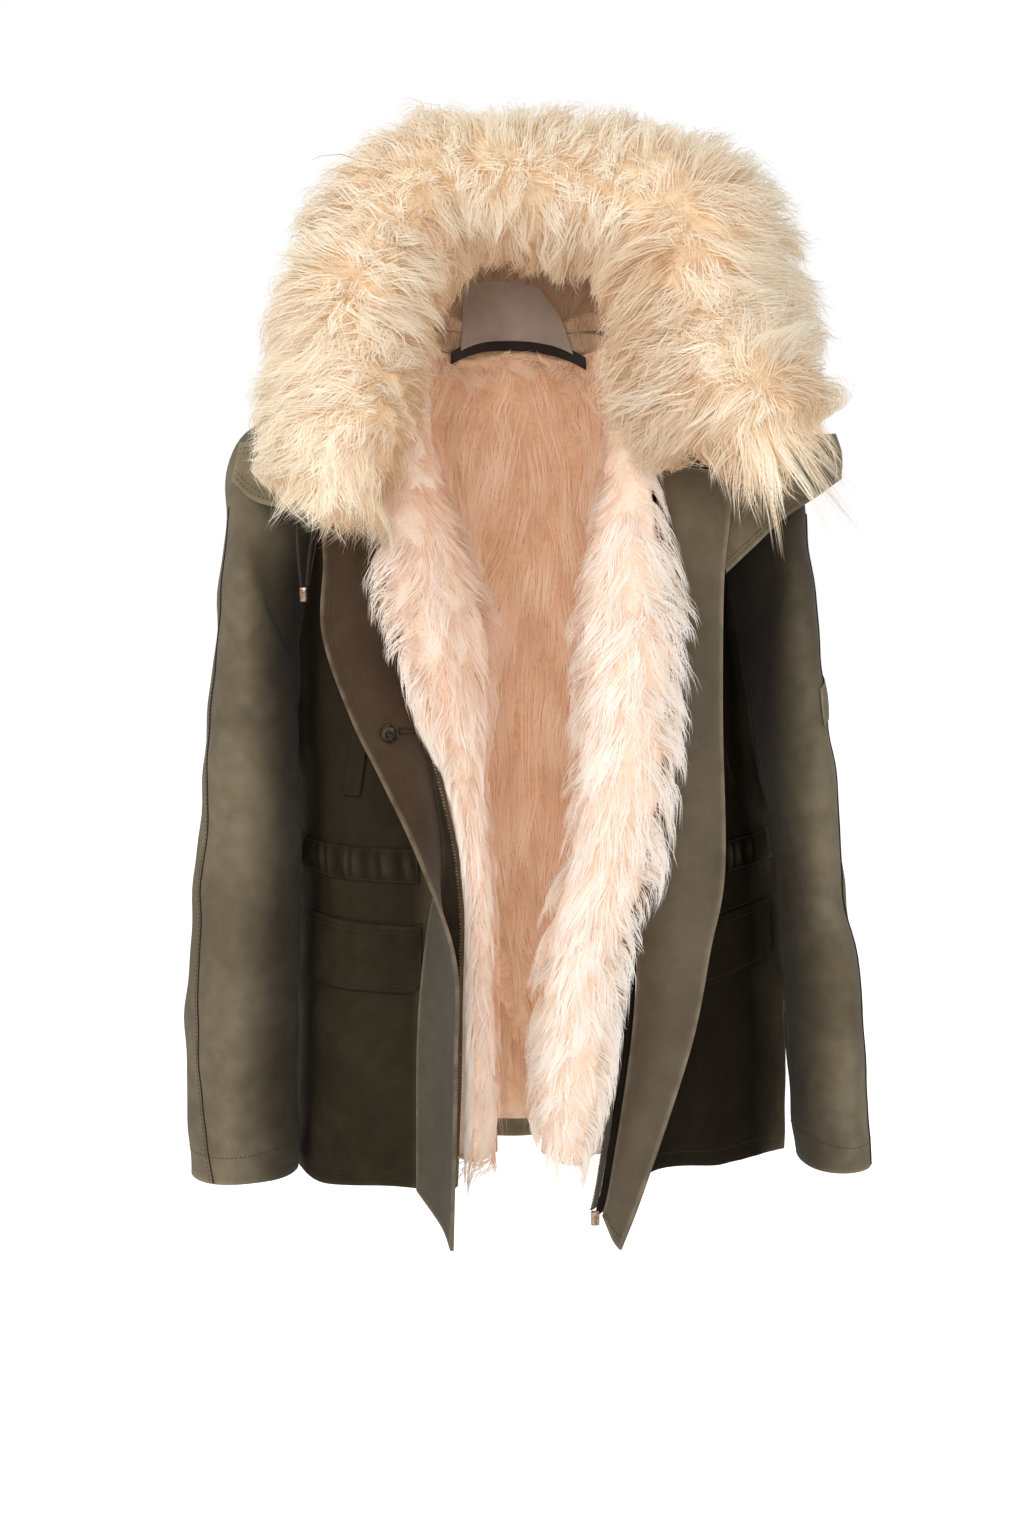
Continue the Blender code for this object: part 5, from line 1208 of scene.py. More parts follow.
zip_end.data.materials.append(TIP_METAL)

# %% [markdown]
# ## Throat pieces, neck panel and tab
#
# The foot of the hood spreads over the shoulders as two olive pieces. Inside, a grey panel with
# soft wrinkles covers the back of the neck, with a dark band along the neck seam below it.

# %% Throat pieces
THROAT_RIGHT = (
    ((-0.244, -0.079, -0.138), (-0.226, -0.083, -0.154), (-0.202, -0.087, -0.160), (-0.179, -0.090, -0.158)),
    ((-0.238, -0.074, -0.106), (-0.218, -0.077, -0.104), (-0.196, -0.080, -0.104), (-0.174, -0.083, -0.104)),
)
THROAT_LEFT = (
    ((0.166, -0.119, -0.214), (0.190, -0.106, -0.194), (0.220, -0.094, -0.168),
     (0.252, -0.081, -0.148), (0.274, -0.074, -0.133)),
    ((0.160, -0.102, -0.180), (0.186, -0.096, -0.160), (0.218, -0.088, -0.138),
     (0.250, -0.078, -0.120), (0.275, -0.071, -0.112)),
    ((0.156, -0.088, -0.130), (0.182, -0.086, -0.116), (0.214, -0.082, -0.104),
     (0.246, -0.074, -0.096), (0.270, -0.068, -0.094)),
)
THROAT_THICK, THROAT_RISE, THROAT_EDGE = 0.0026, 0.0006, 0.003      # its border is raised
for name, net in (("throat_right", THROAT_RIGHT), ("throat_left", THROAT_LEFT)):
    net = np.array(net)
    up = close_ends(0, net.shape[0] - 1, 24, 0.02)
    grid = sheet(net, up, close_ends(0, net.shape[1] - 1, 40, 0.01))
    out = facing(grid)
    bead = THROAT_RISE * (1 - clamp(cut(grid)[1] / THROAT_EDGE) ** 2)
    flaps[name] = Panel(grid, out, np.linspace(0, 1, len(grid)))
    outer, inner = grid + bead[..., None] * out, grid - THROAT_THICK * out
    tailor(f"hood_{name}", outer, inner, SHELL, "shell_twill", [name])

# %% Neck panel, band and tab
NeckRow = namedtuple("NeckRow", "scale aside back up sag")
NECK_PANEL = (NeckRow(0.83, 0.000, 0.000, 0.001, 4.8), NeckRow(0.73, -0.003, 0.022, 0.032, 3.8),
              NeckRow(0.58, -0.010, 0.046, 0.058, 3.0))
NECK_BAND = (NeckRow(0.90, 0.000, 0.000, -0.008, 5.0), NeckRow(0.89, 0.000, 0.000, 0.003, 5.0))
NeckPiece = namedtuple("NeckPiece", "name node rows span wrinkle material slot")
NECK_PIECES = (
    NeckPiece("panel_of_neck", "neck_panel", NECK_PANEL, (0.16, 0.87), 0.0012, NECK, "neck_cloth"),
    NeckPiece("band_of_neck", "neck_band", NECK_BAND, (0.13, 0.91), 0.0, TAPE, "zip_tape"),
)
NECK_WALL = 0.0018
arc = panels["back"].out[-1, SIDE:SIDE + NAPE + 1][::-1]
for item in NECK_PIECES:
    line = smooth(arc, np.linspace(*item.span, 61) * NAPE)
    rows = [np.stack([row.scale * line[:, 0] + row.aside, row.scale * line[:, 1] + row.back,
                      row.up - row.sag * line[:, 0] ** 2], -1) for row in item.rows]
    grid = smooth(rows, np.linspace(0, len(rows) - 1, 12 * len(rows)))
    out = facing(grid)
    x, z = grid[..., 0], grid[..., 2]
    fold = np.sin(90 * z + 40 * x + 3 * np.sin(60 * x)) * np.sin(55 * x - 30 * z)
    calm = clamp(cut(grid)[1] / 0.01)
    grid = grid - (item.wrinkle * (1 - fold) * calm)[..., None] * out * 0.5
    tailor(item.name, grid, grid - NECK_WALL * out, item.material, item.slot, [item.node])
TAB_SIZE = (0.011, 0.0016, 0.022)
TAB_PLACE = np.array((-0.016, 0.092, -0.757))
x, z = np.meshgrid(np.linspace(-0.5, 0.5, 9) * TAB_SIZE[0], np.linspace(-0.5, 0.5, 15) * TAB_SIZE[2])
front = np.stack([x, np.full_like(x, -TAB_SIZE[1] / 2) + 0.0004 * np.sin(x * 500), z], -1) + TAB_PLACE
tailor("tab_of_hem", front, front + np.array((0, TAB_SIZE[1], 0)), TAN, "tan_tape", ["lining_tab"])

# %% [markdown]
# ## Hood
#
# The hood is three panels: two sides and a strip over the middle. Its rim follows the back of
# the fur roll, so the roll's own formula comes first: an ellipse across a path of stations.

# %% The roll's formula
Station = namedtuple("Station", "place x y z half_width half_depth")
RUFF = (
    Station("right tip", -0.157, -0.158, -0.150, 0.060, 0.024),
    Station("right low", -0.153, -0.150, -0.108, 0.070, 0.040),
    Station("right middle", -0.143, -0.134, -0.059, 0.074, 0.048),
    Station("right crease", -0.135, -0.112, -0.008, 0.074, 0.046),
    Station("right high", -0.111, -0.086, 0.053, 0.077, 0.050),
    Station("right top", -0.078, -0.058, 0.099, 0.074, 0.050),
    Station("crown", 0.000, -0.046, 0.109, 0.072, 0.048),
    Station("left top", 0.081, -0.056, 0.100, 0.074, 0.050),
    Station("left high", 0.137, -0.084, 0.064, 0.092, 0.050),
    Station("left crease", 0.148, -0.110, 0.008, 0.089, 0.046),
    Station("left middle", 0.154, -0.134, -0.050, 0.095, 0.046),
    Station("left low", 0.177, -0.150, -0.086, 0.081, 0.042),
    Station("left tip", 0.186, -0.158, -0.108, 0.064, 0.026),
)
RUFF_TUFT = 0.03        # height of each wave of tufts, as a share of the half width
RUFF_WAVES = ((3.0, 2.3), (2.0, 5.1))       # tufts round the section, and radians per station
CROWN, LAST = 6.0, 12.0


def roll(station, angle, share=1.0, grow=0.0):
    """Points of the fur roll: an ellipse across its path, scaled by share.

    The angle turns from the roll's outer edge over its back; -90 degrees is its front."""
    station, angle, share = np.broadcast_arrays(*(np.asarray(v, float) for v in (station, angle, share)))
    shape = station.shape
    rows = table(RUFF, "x", "y", "z", "half_width", "half_depth")
    at = smooth(rows, station.ravel()).reshape(shape + (5,))
    ahead = smooth(rows[:, :3], np.clip(station.ravel() + 0.05, 0, LAST))
    behind = smooth(rows[:, :3], np.clip(station.ravel() - 0.05, 0, LAST))
    along = unit((ahead - behind).reshape(shape + (3,)))
    outward = unit(np.cross(along, (0.0, 1.0, 0.0)))
    tuft = 1 + RUFF_TUFT * sum(np.sin(turns * angle + pace * station) for turns, pace in RUFF_WAVES)
    width = (at[..., 3] * tuft + grow) * share
    depth = (at[..., 4] * tuft + grow) * share
    return (at[..., :3] + (width * np.cos(angle))[..., None] * outward
            + (depth * np.sin(angle))[..., None] * np.cross(outward, along))


print("crown of the roll:", roll(CROWN, 0.0).round(3))

# %% Hood panels
HoodLine = namedtuple("HoodLine", "place station mid back low")
HOOD = (
    HoodLine("right low", 3.00, (-0.160, -0.012, 0.000), (-0.122, 0.044, 0.016), (-0.090, 0.058, 0.010)),
    HoodLine("right side", 4.30, (-0.142, 0.026, 0.078), (-0.104, 0.088, 0.062), (-0.066, 0.092, 0.026)),
    HoodLine("crown", 6.00, (0.000, 0.068, 0.160), (0.000, 0.130, 0.104), (0.000, 0.116, 0.040)),
    HoodLine("left side", 7.70, (0.152, 0.026, 0.084), (0.108, 0.088, 0.062), (0.068, 0.092, 0.026)),
    HoodLine("left low", 9.00, (0.172, -0.012, 0.004), (0.126, 0.044, 0.016), (0.092, 0.058, 0.010)),
)
NECK_STATIONS = (1.80, 10.20)       # where the hood's neck edges start on the roll
NECK_UP = (6.10, 6.55, 6.85)        # body rows that they follow to the back neck
NECK_CLEAR, NAPE_GAP, HOOD_CLEAR = 0.007, 0.0018, 0.0099
HOOD_ATTACH = math.radians(62)
STRIP = (10 / 24, 14 / 24)          # the centre strip, in shares of the hood's width
HOOD_COLUMNS, HOOD_ROWS = 96, 40


def hood_grid():
    """Hood from its rim behind the roll (row 0) to the nape (last row), right to left."""
    necks = [on(panels[name], NECK_UP, front_share(side, 3.0), NECK_CLEAR)
             for name, side in (("front_right", -1), ("front_left", 1))]
    stations = [NECK_STATIONS[0], *(line.station for line in HOOD), NECK_STATIONS[1]]
    columns = np.linspace(0, len(stations) - 1, HOOD_COLUMNS + 1)
    rim = roll(smooth(stations, columns), HOOD_ATTACH, 1.0, HOOD_CLEAR)
    nape = smooth(arc[::ACROSS], np.linspace(0, 8, HOOD_COLUMNS + 1))
    nape[:, 2] += NAPE_GAP
    lines = [smooth([necks[0][k], *(line[k + 2] for line in HOOD), necks[1][k]], columns) for k in range(3)]
    return smooth(np.array([rim, *lines, nape]), np.linspace(0, 4, HOOD_ROWS + 1))


bare_hood = hood_grid()
hood_out = facing(bare_hood)
hood_soft = clamp(cut(bare_hood)[1] / 0.02) * relief(bare_hood) * 1.3
hood = Panel(bare_hood + hood_soft[..., None] * hood_out, hood_out, np.linspace(0, 10, HOOD_ROWS + 1))
first, last = (round(share * HOOD_COLUMNS) for share in STRIP)
for node, span, edges in (("hood_side_right", slice(0, first + 1), "r"),
                          ("hood_centre", slice(first, last + 1), "lr"),
                          ("hood_side_left", slice(last, None), "l")):
    cloth_wall(f"panel_{node}", node, Panel(hood.out[:, span], hood.facing[:, span], hood.ups), edges)

# %% [markdown]
# ## Stitching
#
# Every seam is topstitched: a row of short threads that dip into the cloth at both ends. One
# stitch is a slim eight-sided bead of six points. Rows of stitches follow lines that lie a few
# millimetres inside a panel's border, and all of them are joined into a few meshes.


# %% Stitch rows
def beads(name, at, axes):
    """Joined threads: six points and eight faces each, its three axes scaled to its size."""
    shape = np.array([(-0.5, 0, 0), (0.5, 0, 0), (0, -0.5, 0), (0, 0.5, 0), (0, 0, -0.3), (0, 0, 0.7)])
    bead = np.array([(0, 2, 5), (2, 1, 5), (1, 3, 5), (3, 0, 5), (2, 0, 4), (1, 2, 4), (3, 1, 4), (0, 3, 4)])
    corners = np.einsum("kc,nci->nki", shape, axes) + at[:, None]
    faces = (bead[None] + 6 * np.arange(len(at))[:, None, None]).reshape(-1, 3)
    print(name, "has", len(at), "stitches")
    return mesh_of(name, corners.reshape(-1, 3), [faces])


STITCH, STITCH_PITCH, STITCH_WIDTH = 0.0025, 0.0038, 0.00075


def stitch_rows(name, rows):
    """Stitches at even distances along rows of (path, outward directions)."""
    ats, frames = [], []
    for path, out in rows:
        at, ahead, up = spaced(path, STITCH_PITCH, out)
        side = unit(np.cross(up, ahead))
        ats.append(at)
        frames.append(np.stack([ahead * STITCH, side * STITCH_WIDTH, unit(up) * STITCH_WIDTH], axis=1))
    return beads(name, np.concatenate(ats), np.concatenate(frames))


LINE_POINTS = 160       # points of a line along a border
SEAM_LIFT = 0.0002      # how far a thread lies above the cloth


def line_of(panel, side, inset):
    """A line inside a panel's border: l, r, b or t, at inset metres from it."""
    columns = panel.out.shape[1]
    part = np.linspace(0, 1, LINE_POINTS)
    if side in "lr":
        up = np.interp(part, (0, 1), (panel.ups[0], panel.ups[-1]))
        width = np.interp(up, panel.ups, measure(panel.out, 1)[:, -1])
        share = inset / width if side == "l" else 1 - inset / width
    else:
        share = part
        high = np.interp(share * (columns - 1), np.arange(columns), measure(panel.out, 0)[-1])
        rise = measure(panel.out, 0).mean(1) / measure(panel.out, 0)[-1].mean()
        up = np.interp(inset / high if side == "b" else 1 - inset / high, rise, panel.ups)
    return line_on(panel, up, share, SEAM_LIFT)


# %% Stitching of the coat
HEM, CUFF, SIDE_SEAM, SHOULDER, HEAD = 0.014, 0.026, 0.0065, 0.0055, 0.006      # from border to stitches
HALVES = ("front", "back")
SHELL_ROWS = [("back", "b", HEM)]
SHELL_ROWS += [(f"sleeve_{half}_{side}", "b", CUFF) for side in SIDES for half in HALVES]
SHELL_ROWS += [(f"sleeve_{half}_{side}", "t", HEAD) for half in HALVES for side in SIDES]
FRONT_ROWS = [("front_right", "b", HEM), ("front_left", "b", HEM), ("front_right", "l", SIDE_SEAM),
              ("front_left", "r", SIDE_SEAM), ("front_right", "t", SHOULDER), ("front_left", "t", SHOULDER)]
BESIDE_CORD = 0.0035    # from a seam's cord to the stitches beside it
POCKET_INSET = (0.045, 0.028)       # of a pocket flap's stitches, in rows and as a share of the width
WELT_INSET = (0.03, 0.018)          # the same for a welt
FLAP_INSET, THROAT_INSETS, STRIP_INSET, CASING_INSET = 0.0075, (0.005, 0.010), 0.005, 0.012
OVER_CASING, OVER_POCKET, OVER_WELT = LAY + 0.0022, LAY + 0.0025, LAY + 0.0027

rows = [line_of(panels[node], border, inset) for node, border, inset in SHELL_ROWS]
fronts = [line_of(panels[node], border, inset) for node, border, inset in FRONT_ROWS]
for cord, target, aside in zip(SEAM_CORDS, (rows, rows, fronts, fronts), (-1, 1, 1, 1)):
    target.append(seam_path(cord, BESIDE_CORD * aside, SEAM_LIFT))
strip = Panel(hood.out[:, first:last + 1], hood.facing[:, first:last + 1], hood.ups)
rows += [line_of(strip, border, STRIP_INSET) for border in "lr"]
for gather, target in zip(GATHERS, (rows, fronts, fronts)):
    share = np.linspace(gather.first, gather.last, 200)
    target += [line_on(panels[gather.node], up, share, OVER_CASING)
               for up in (CASING_UP[0] + CASING_INSET, CASING_UP[1] - CASING_INSET)]
for pocket in POCKETS:
    panel = panels[f"front_{pocket.side}"]
    low, high = POCKET_FLAP_UP[0] + POCKET_INSET[0], POCKET_FLAP_UP[1] - POCKET_INSET[0]
    start, end = pocket.flap_first + POCKET_INSET[1], pocket.flap_last - POCKET_INSET[1]
    corners = [(high, start), (low, start), (low, end), (high, end), (high, start)]
    up, share = (np.concatenate([np.linspace(a[k], b[k], 60) for a, b in zip(corners, corners[1:])])
                 for k in range(2))
    middle = (start + end) / 2
    share = middle + (share - middle) * (1 - round_corner(up) / (end - middle))
    fronts.append(line_on(panel, up, share, OVER_POCKET))
    up = np.linspace(WELT_UP[0] + WELT_INSET[0], WELT_UP[1] - WELT_INSET[0], 60)
    share = np.interp(up, WELT_UP, (pocket.welt_low, pocket.welt_high))
    fronts += [line_on(panel, up, share + shift, OVER_WELT)
               for shift in (WELT_INSET[1], WELT_WIDTH - WELT_INSET[1])]
rows += [line_of(flaps[f"throat_{side}"], border, inset)
         for side in SIDES for border in "bt" for inset in THROAT_INSETS]
show(stitch_rows("stitching_of_shell", rows), THREAD, "shell_twill", sharp=0)
show(stitch_rows("stitching_of_fronts", fronts), SHADED_THREAD, "shell_twill", sharp=0)
rows = [line_of(flaps[side], border, FLAP_INSET) for border in "rb" for side in SIDES]
show(stitch_rows("stitching_of_flaps", rows), DARK_THREAD, "facing_twill", sharp=0)

# %% [markdown]
# ## Button and buttonhole
#
# The button lies on the flap's inner side, with a keyhole buttonhole worked beside it in dark
# thread: short stitches side by side, each across the line of the hole.

# %% Button
flap = flaps["right"]
BUTTON_AT = (12 / 20, 3 / 5)        # shares up and across the flap
share = np.interp(BUTTON_AT[1] * 2, FLAP_ACROSS, np.linspace(0, 1, len(FLAP_ACROSS)))
spot = on(flap, BUTTON_AT[0], share, 0.0)
out = unit(on(flap, BUTTON_AT[0], share, 1.0) - spot)
BUTTON_RADIUS, BUTTON_THICK = 0.0075, 0.0032
button_profile = [(r * BUTTON_RADIUS, 0.0012 + h * BUTTON_THICK) for r, h in
                  ((0.2, 0.0), (0.90, 0.0), (1.0, 0.3), (1.0, 0.7), (0.92, 1.0), (0.80, 1.0), (0.70, 0.62),
                   (0.42, 0.50), (0.34, 0.78), (0.22, 0.78), (0.16, 0.30))]
show(lathe("button_on_flap", button_profile, spot, out), DARK_METAL, "dark_metal", ["button"], 35.0)
print("button at", spot.round(3))

# %% Buttonhole
HOLE_LONG, HOLE_WIDE, HOLE_TAPER = 0.0085, 0.0022, 0.35     # half length and width, wider at its eye
HOLE_ASIDE, HOLE_ABOVE, HOLE_LIFT = 0.0165, 0.002, 0.0006   # from the button's place
HOLE_STITCH = (0.0026, 0.0007)      # length across the hole's line, and thickness
turn = np.linspace(0, 2 * math.pi, 60)
side_way = unit(np.cross((0, 0, 1), out))
up_way = np.cross(out, side_way)
centre = spot + HOLE_ASIDE * side_way * np.sign(side_way[0]) + HOLE_ABOVE * up_way + HOLE_LIFT * out
path = (centre + (HOLE_LONG * np.cos(turn))[:, None] * side_way
        + (HOLE_WIDE * np.sin(turn) * (1 - HOLE_TAPER * np.cos(turn)))[:, None] * up_way)
across_path = unit(np.cross(unit(np.gradient(path, axis=0)), out))
axes = np.stack([HOLE_STITCH[0] * across_path, HOLE_STITCH[1] * np.cross(across_path, out),
                 HOLE_STITCH[1] * np.broadcast_to(out, path.shape)], axis=1)
show(beads("buttonhole", path, axes), DARK_THREAD, "facing_twill", sharp=0)

# %% [markdown]
# ## Combing fur
#
# Wool grows in locks: neighbouring hairs lean together and meet at a point. A coat of fur is a
# volume with three numbers: up, around and depth, from the skin out. A lock starts at a root
# spread evenly over the skin, bends the way the comb pulls, and rises to the coat's outline. Its
# hairs start apart and close up towards the tip. Every hair is a narrow ribbon of a few
# triangles, worked out for all hairs at once.

# %% Roots and the comb
Locks = namedtuple("Locks", "count hairs points spread clump curl droop width contrast")
MID_COAT = 0.8          # depth at which the comb's pull is read
ROOT_CELLS = (140, 120)     # cells up and around in which roots are spread
SWIRL_SIZE, SWIRL, STRAY = 0.045, 0.014, 0.005      # of the comb's own unevenness, in metres


def scatter(volume, up, around, count, rng, favour=None):
    """Roots spread by area: cells of a grid are drawn in proportion to their size."""
    u, v = np.linspace(*up, ROOT_CELLS[0]), np.linspace(*around, ROOT_CELLS[1])
    grid = volume(u[:, None], v[None, :], MID_COAT)
    across, along = grid[:-1, 1:] - grid[:-1, :-1], grid[1:, :-1] - grid[:-1, :-1]
    size = np.linalg.norm(np.cross(across, along), axis=-1)
    if favour is not None:
        size = size * favour(u[:-1, None], v[None, :-1])
    picked = rng.choice(size.size, count, p=(size / size.sum()).ravel())
    i, j = np.unravel_index(picked, size.shape)
    return u[i] + rng.random(count) * (u[1] - u[0]), v[j] + rng.random(count) * (v[1] - v[0])


def comb_steps(volume, u, v, pull, rng):
    """The comb's pull in metres as steps up and around: least squares on the surface's directions."""
    step = 1e-3
    at = volume(u, v, MID_COAT)
    du, dv = (volume(u + step, v, MID_COAT) - at) / step, (volume(u, v + step, MID_COAT) - at) / step
    swirl = np.stack([mist(at, SWIRL_SIZE, seed) for seed in (1, 2, 3)], -1) * SWIRL
    way = pull(at, u, v, unit(du), unit(dv)) + swirl + rng.normal(0, STRAY, at.shape)
    a, b, c = (du * du).sum(-1), (du * dv).sum(-1), (dv * dv).sum(-1)
    p, q = (way * du).sum(-1), (way * dv).sum(-1)
    steps = np.stack([c * p - b * q, a * q - b * p], -1) / np.maximum(a * c - b * b, 1e-14)[:, None]
    return at, steps, np.stack([np.sqrt(a), np.sqrt(c)], -1)


# %% Hairs
LOCK_LENGTHS, HAIR_LENGTHS = (0.70, 1.20), (0.75, 1.10)     # shares of the comb's pull
LOCK_GRIPS, HAIR_GRIPS, MOST_GRIP = (0.35, 1.2), (0.7, 1.1), 0.95      # shares of the clump
TONE_NOISE, HEIGHT_NOISE, WIDTHS = 0.08, 0.04, (0.7, 1.3)   # from hair to hair


def grow(name, volume, roots, pull, rise, locks, tone, rng):
    """Mesh and normals of all hairs of a coat. Arrays run over locks, hairs and points.

    A hair's place on the skin is its lock's root, plus its own offset that closes up towards the
    tip, plus the comb's steps and a curl across them. Its depth climbs from the wool to the tip."""
    u, v = roots
    at, steps, scale = comb_steps(volume, u, v, pull, rng)
    n, m = len(u), locks.hairs
    s = np.linspace(0, 1, locks.points)
    turn, far = rng.random((n, m)) * 2 * math.pi, np.sqrt(rng.random((n, m))) * locks.spread
    offset = np.stack([np.cos(turn), np.sin(turn)], -1) * far[..., None] / scale[:, None]
    length = rng.uniform(*LOCK_LENGTHS, (n, 1)) * rng.uniform(*HAIR_LENGTHS, (n, m))
    grip = locks.clump * rng.uniform(*LOCK_GRIPS, (n, 1, 1)) * rng.uniform(*HAIR_GRIPS, (n, m, 1))
    close = 1 - np.clip(grip, 0, MOST_GRIP) * s ** 0.8
    bend = s ** rng.uniform(1.0, 1.8, (n, 1, 1))
    phase, turns = rng.random((n, 1, 1)) * 2 * math.pi, rng.uniform(0.4, 1.1, (n, 1, 1))
    curl = locks.curl * s ** 1.2 * np.sin(2 * math.pi * turns * s + phase + rng.normal(0, 0.35, (n, m, 1)))
    aside = unit(np.stack([steps[:, 1], -steps[:, 0]], -1) * scale) / scale
    places = (np.stack([u, v], -1)[:, None, None] + offset[:, :, None] * close[..., None]
              + (steps[:, None, None] * (bend * length[..., None])[..., None])
              + aside[:, None, None] * curl[..., None])
    low, high = rise(u, v, rng)
    climb = 1 - (1 - s) ** rng.uniform(1.1, 2.4, (n, 1, 1))
    depth = low[:, None, None] + (high[:, None, None] - low[:, None, None]) * climb
    depth = depth + rng.normal(0, HEIGHT_NOISE, (n, m, 1)) * s
    points = volume(places[..., 0], places[..., 1], depth)
    beyond = volume(places[..., 0], places[..., 1], depth + 0.1)
    out = unit(beyond - points)
    points[..., 2] -= locks.droop * s ** 2 * rng.uniform(0.3, 1.0, (n, 1, 1))
    # Locks that end lower are darker, painted shade between the locks, and each lock has a random tone too.
    low_lock_shade = locks.contrast * (np.clip((high - high.mean()) / 0.05, -1, 1) + rng.normal(0, 0.6, n))
    shade = clamp(tone(at, u, v) + low_lock_shade)[:, None] + rng.normal(0, TONE_NOISE, (n, m))
    thin = rng.uniform(*WIDTHS, (n * m, 1)) * locks.width
    points, out = points.reshape(n * m, -1, 3), out.reshape(n * m, -1, 3)
    return ribbons(name, points, out, clamp(shade).ravel(), thin, rng)


ROUND_NORMAL, OUT_NORMAL = 0.30, 1.0        # shares of a hair's own roundness and of the coat's direction


def ribbons(name, points, out, shade, thin, rng):
    """Each hair as a ribbon that faces outwards, rolled a little, and narrows to a point.

    Its normals lean towards the coat's own direction, as the light in dense fur does."""
    count, knots = points.shape[:2]
    s = np.linspace(0, 1, knots)
    ahead = unit(np.gradient(points, axis=1))
    side = unit(np.cross(ahead, out))
    roll_by = rng.normal(0, 0.5, (count, 1, 1))
    side = unit(side * np.cos(roll_by) + np.cross(ahead, side) * np.sin(roll_by))
    front = np.cross(side, ahead) * ROUND_NORMAL + out * OUT_NORMAL
    half = (thin * np.minimum(0.55 + 1.4 * s, 1.0) * (1 - s) ** 0.6 / 2)[..., None]
    pairs = np.stack([points - side * half, points + side * half], axis=2)[:, :-1]
    corners = np.concatenate([pairs.reshape(count, -1, 3), points[:, -1:]], axis=1)
    leans = np.stack([front - side * ROUND_NORMAL, front + side * ROUND_NORMAL], axis=2)[:, :-1]
    normals = unit(np.concatenate([leans.reshape(count, -1, 3), front[:, -1:]], axis=1))
    steps = np.arange(0, 2 * (knots - 2), 2)
    first = np.stack([steps, steps + 1, steps + 3], -1)
    second = np.stack([steps, steps + 3, steps + 2], -1)
    end = 2 * (knots - 1)
    pattern = np.concatenate([first, second, [[end - 2, end - 1, end]]])
    faces = (pattern[None] + (end + 1) * np.arange(count)[:, None, None]).reshape(-1, 3)
    reach = np.concatenate([np.repeat(s[:-1], 2), s[-1:]])
    uv = np.stack(np.broadcast_arrays(shade[:, None], reach[None, :]), -1)
    print(name, "has", count, "hairs and", len(faces), "triangles")
    return mesh_of(name, corners.reshape(-1, 3), [faces], uv.reshape(-1, 2)), normals.reshape(-1, 3)


def coat(name, material, slot, *recipe):
    """Grows the hairs of a recipe, which is what grow takes, and shows them with their own normals."""
    mesh, normals = grow(name, *recipe)
    show(mesh, material, slot, (), 0, normals)


print("a kind of lock has", Locks._fields)

# %% [markdown]
# ## The ruff
#
# The hair is parted along the roll's crest and falls to both sides of it. Outside it bristles
# away from the hood. Inside it hangs into the face opening. On the two lobes below the creases it
# also spreads from a whorl, and at both tips it trails down over the shoulders.

# %% The ruff's comb
CREST = -math.pi / 2
END_ROUND = 0.45        # stations over which the roll's ends round off
STATION_LONG = 0.045    # metres that the coat goes on for each station beyond its ends
WHORLS = np.array([(-0.015, -0.094, 0.135), (0.133, -0.115, 0.096), (0.121, -0.130, 0.048),
                   (-0.105, -0.180, -0.087), (0.192, -0.190, -0.064), (-0.150, -0.150, 0.020)])
WHORL_REACH, TIP_REACH = 0.060, 1.4         # in metres, and in stations
FROM_CREST, FROM_WHORL, PAST_TIPS, RUFF_DOWN = 0.024, 0.036, 0.022, 0.010       # the comb's pulls in metres
PROUD_SHARE, PROUD = 0.125, 0.07    # one lock in eight stands proud


def ends_in(station):
    """1 along the roll, falling to 0 at its two ends as a quarter circle."""
    near = np.minimum(clamp(station / END_ROUND), clamp((LAST - station) / END_ROUND))
    return np.sqrt(1 - (1 - near) ** 2)


def roll_coat(u, v, depth):
    """Volume of the ruff's fur. Beyond its ends it goes on straight, a little closed up."""
    inside = np.clip(u, 0, LAST)
    at = roll(inside, v, depth * (0.80 + 0.20 * ends_in(inside)))
    ahead = roll(np.clip(inside + 0.02, 0, LAST), v, 0.0) - roll(np.clip(inside - 0.02, 0, LAST), v, 0.0)
    return at + ((u - inside) * STATION_LONG)[..., None] * unit(ahead)


def ruff_pull(at, u, v, along, round_it):
    """Comb over the ruff: away from its crest and its whorls, down, and out at the two ends."""
    turned = (v - CREST + math.pi) % (2 * math.pi) - math.pi
    away = np.tanh(turned / 0.75)
    ray = at[:, None] - WHORLS[None]
    far = np.linalg.norm(ray, axis=-1, keepdims=True)
    whorl = (ray / (far + 0.006) * np.exp(-(far / WHORL_REACH) ** 2)).sum(axis=1)
    tips = np.clip(TIP_REACH - u, 0, TIP_REACH) - np.clip(u - (LAST - TIP_REACH), 0, TIP_REACH)
    return (FROM_CREST * away[:, None] * round_it + FROM_WHORL * whorl - PAST_TIPS * tips[:, None] * along
            + np.array([0.0, 0.0, -RUFF_DOWN]))


def ruff_rise(u, v, rng):
    """Hairs start in the wool; most end at the roll's outline, and one in eight stands proud.

    On the inside, round the face, they are a little shorter."""
    proud = rng.random(len(u)) < PROUD_SHARE
    inside = clamp((-np.cos(v) - 0.3) / 0.7)
    shorter = np.where(u < CROWN, 0.20, 0.02) * inside
    return 0.66 - 0.5 * shorter, rng.uniform(0.88, 1.05, len(u)) + PROUD * proud - shorter


def ruff_tone(at, u, v):
    """Cream outside, paler at the low tips and on the wearer's left, and darkened to peach towards the face
    opening, which is painted shade.
    """
    inner = clamp((-np.cos(v) + 0.1) / 1.1)
    bright = 0.05 * np.tanh(at[:, 0] / 0.1)
    low_tip = 0.25 * clamp(-(at[:, 2] + 0.08) / 0.06)
    # Painted shade: inner darkens the colour towards the face opening.
    return 0.75 + bright + low_tip - 0.72 * inner + 0.10 * mist(at, 0.03, 9)


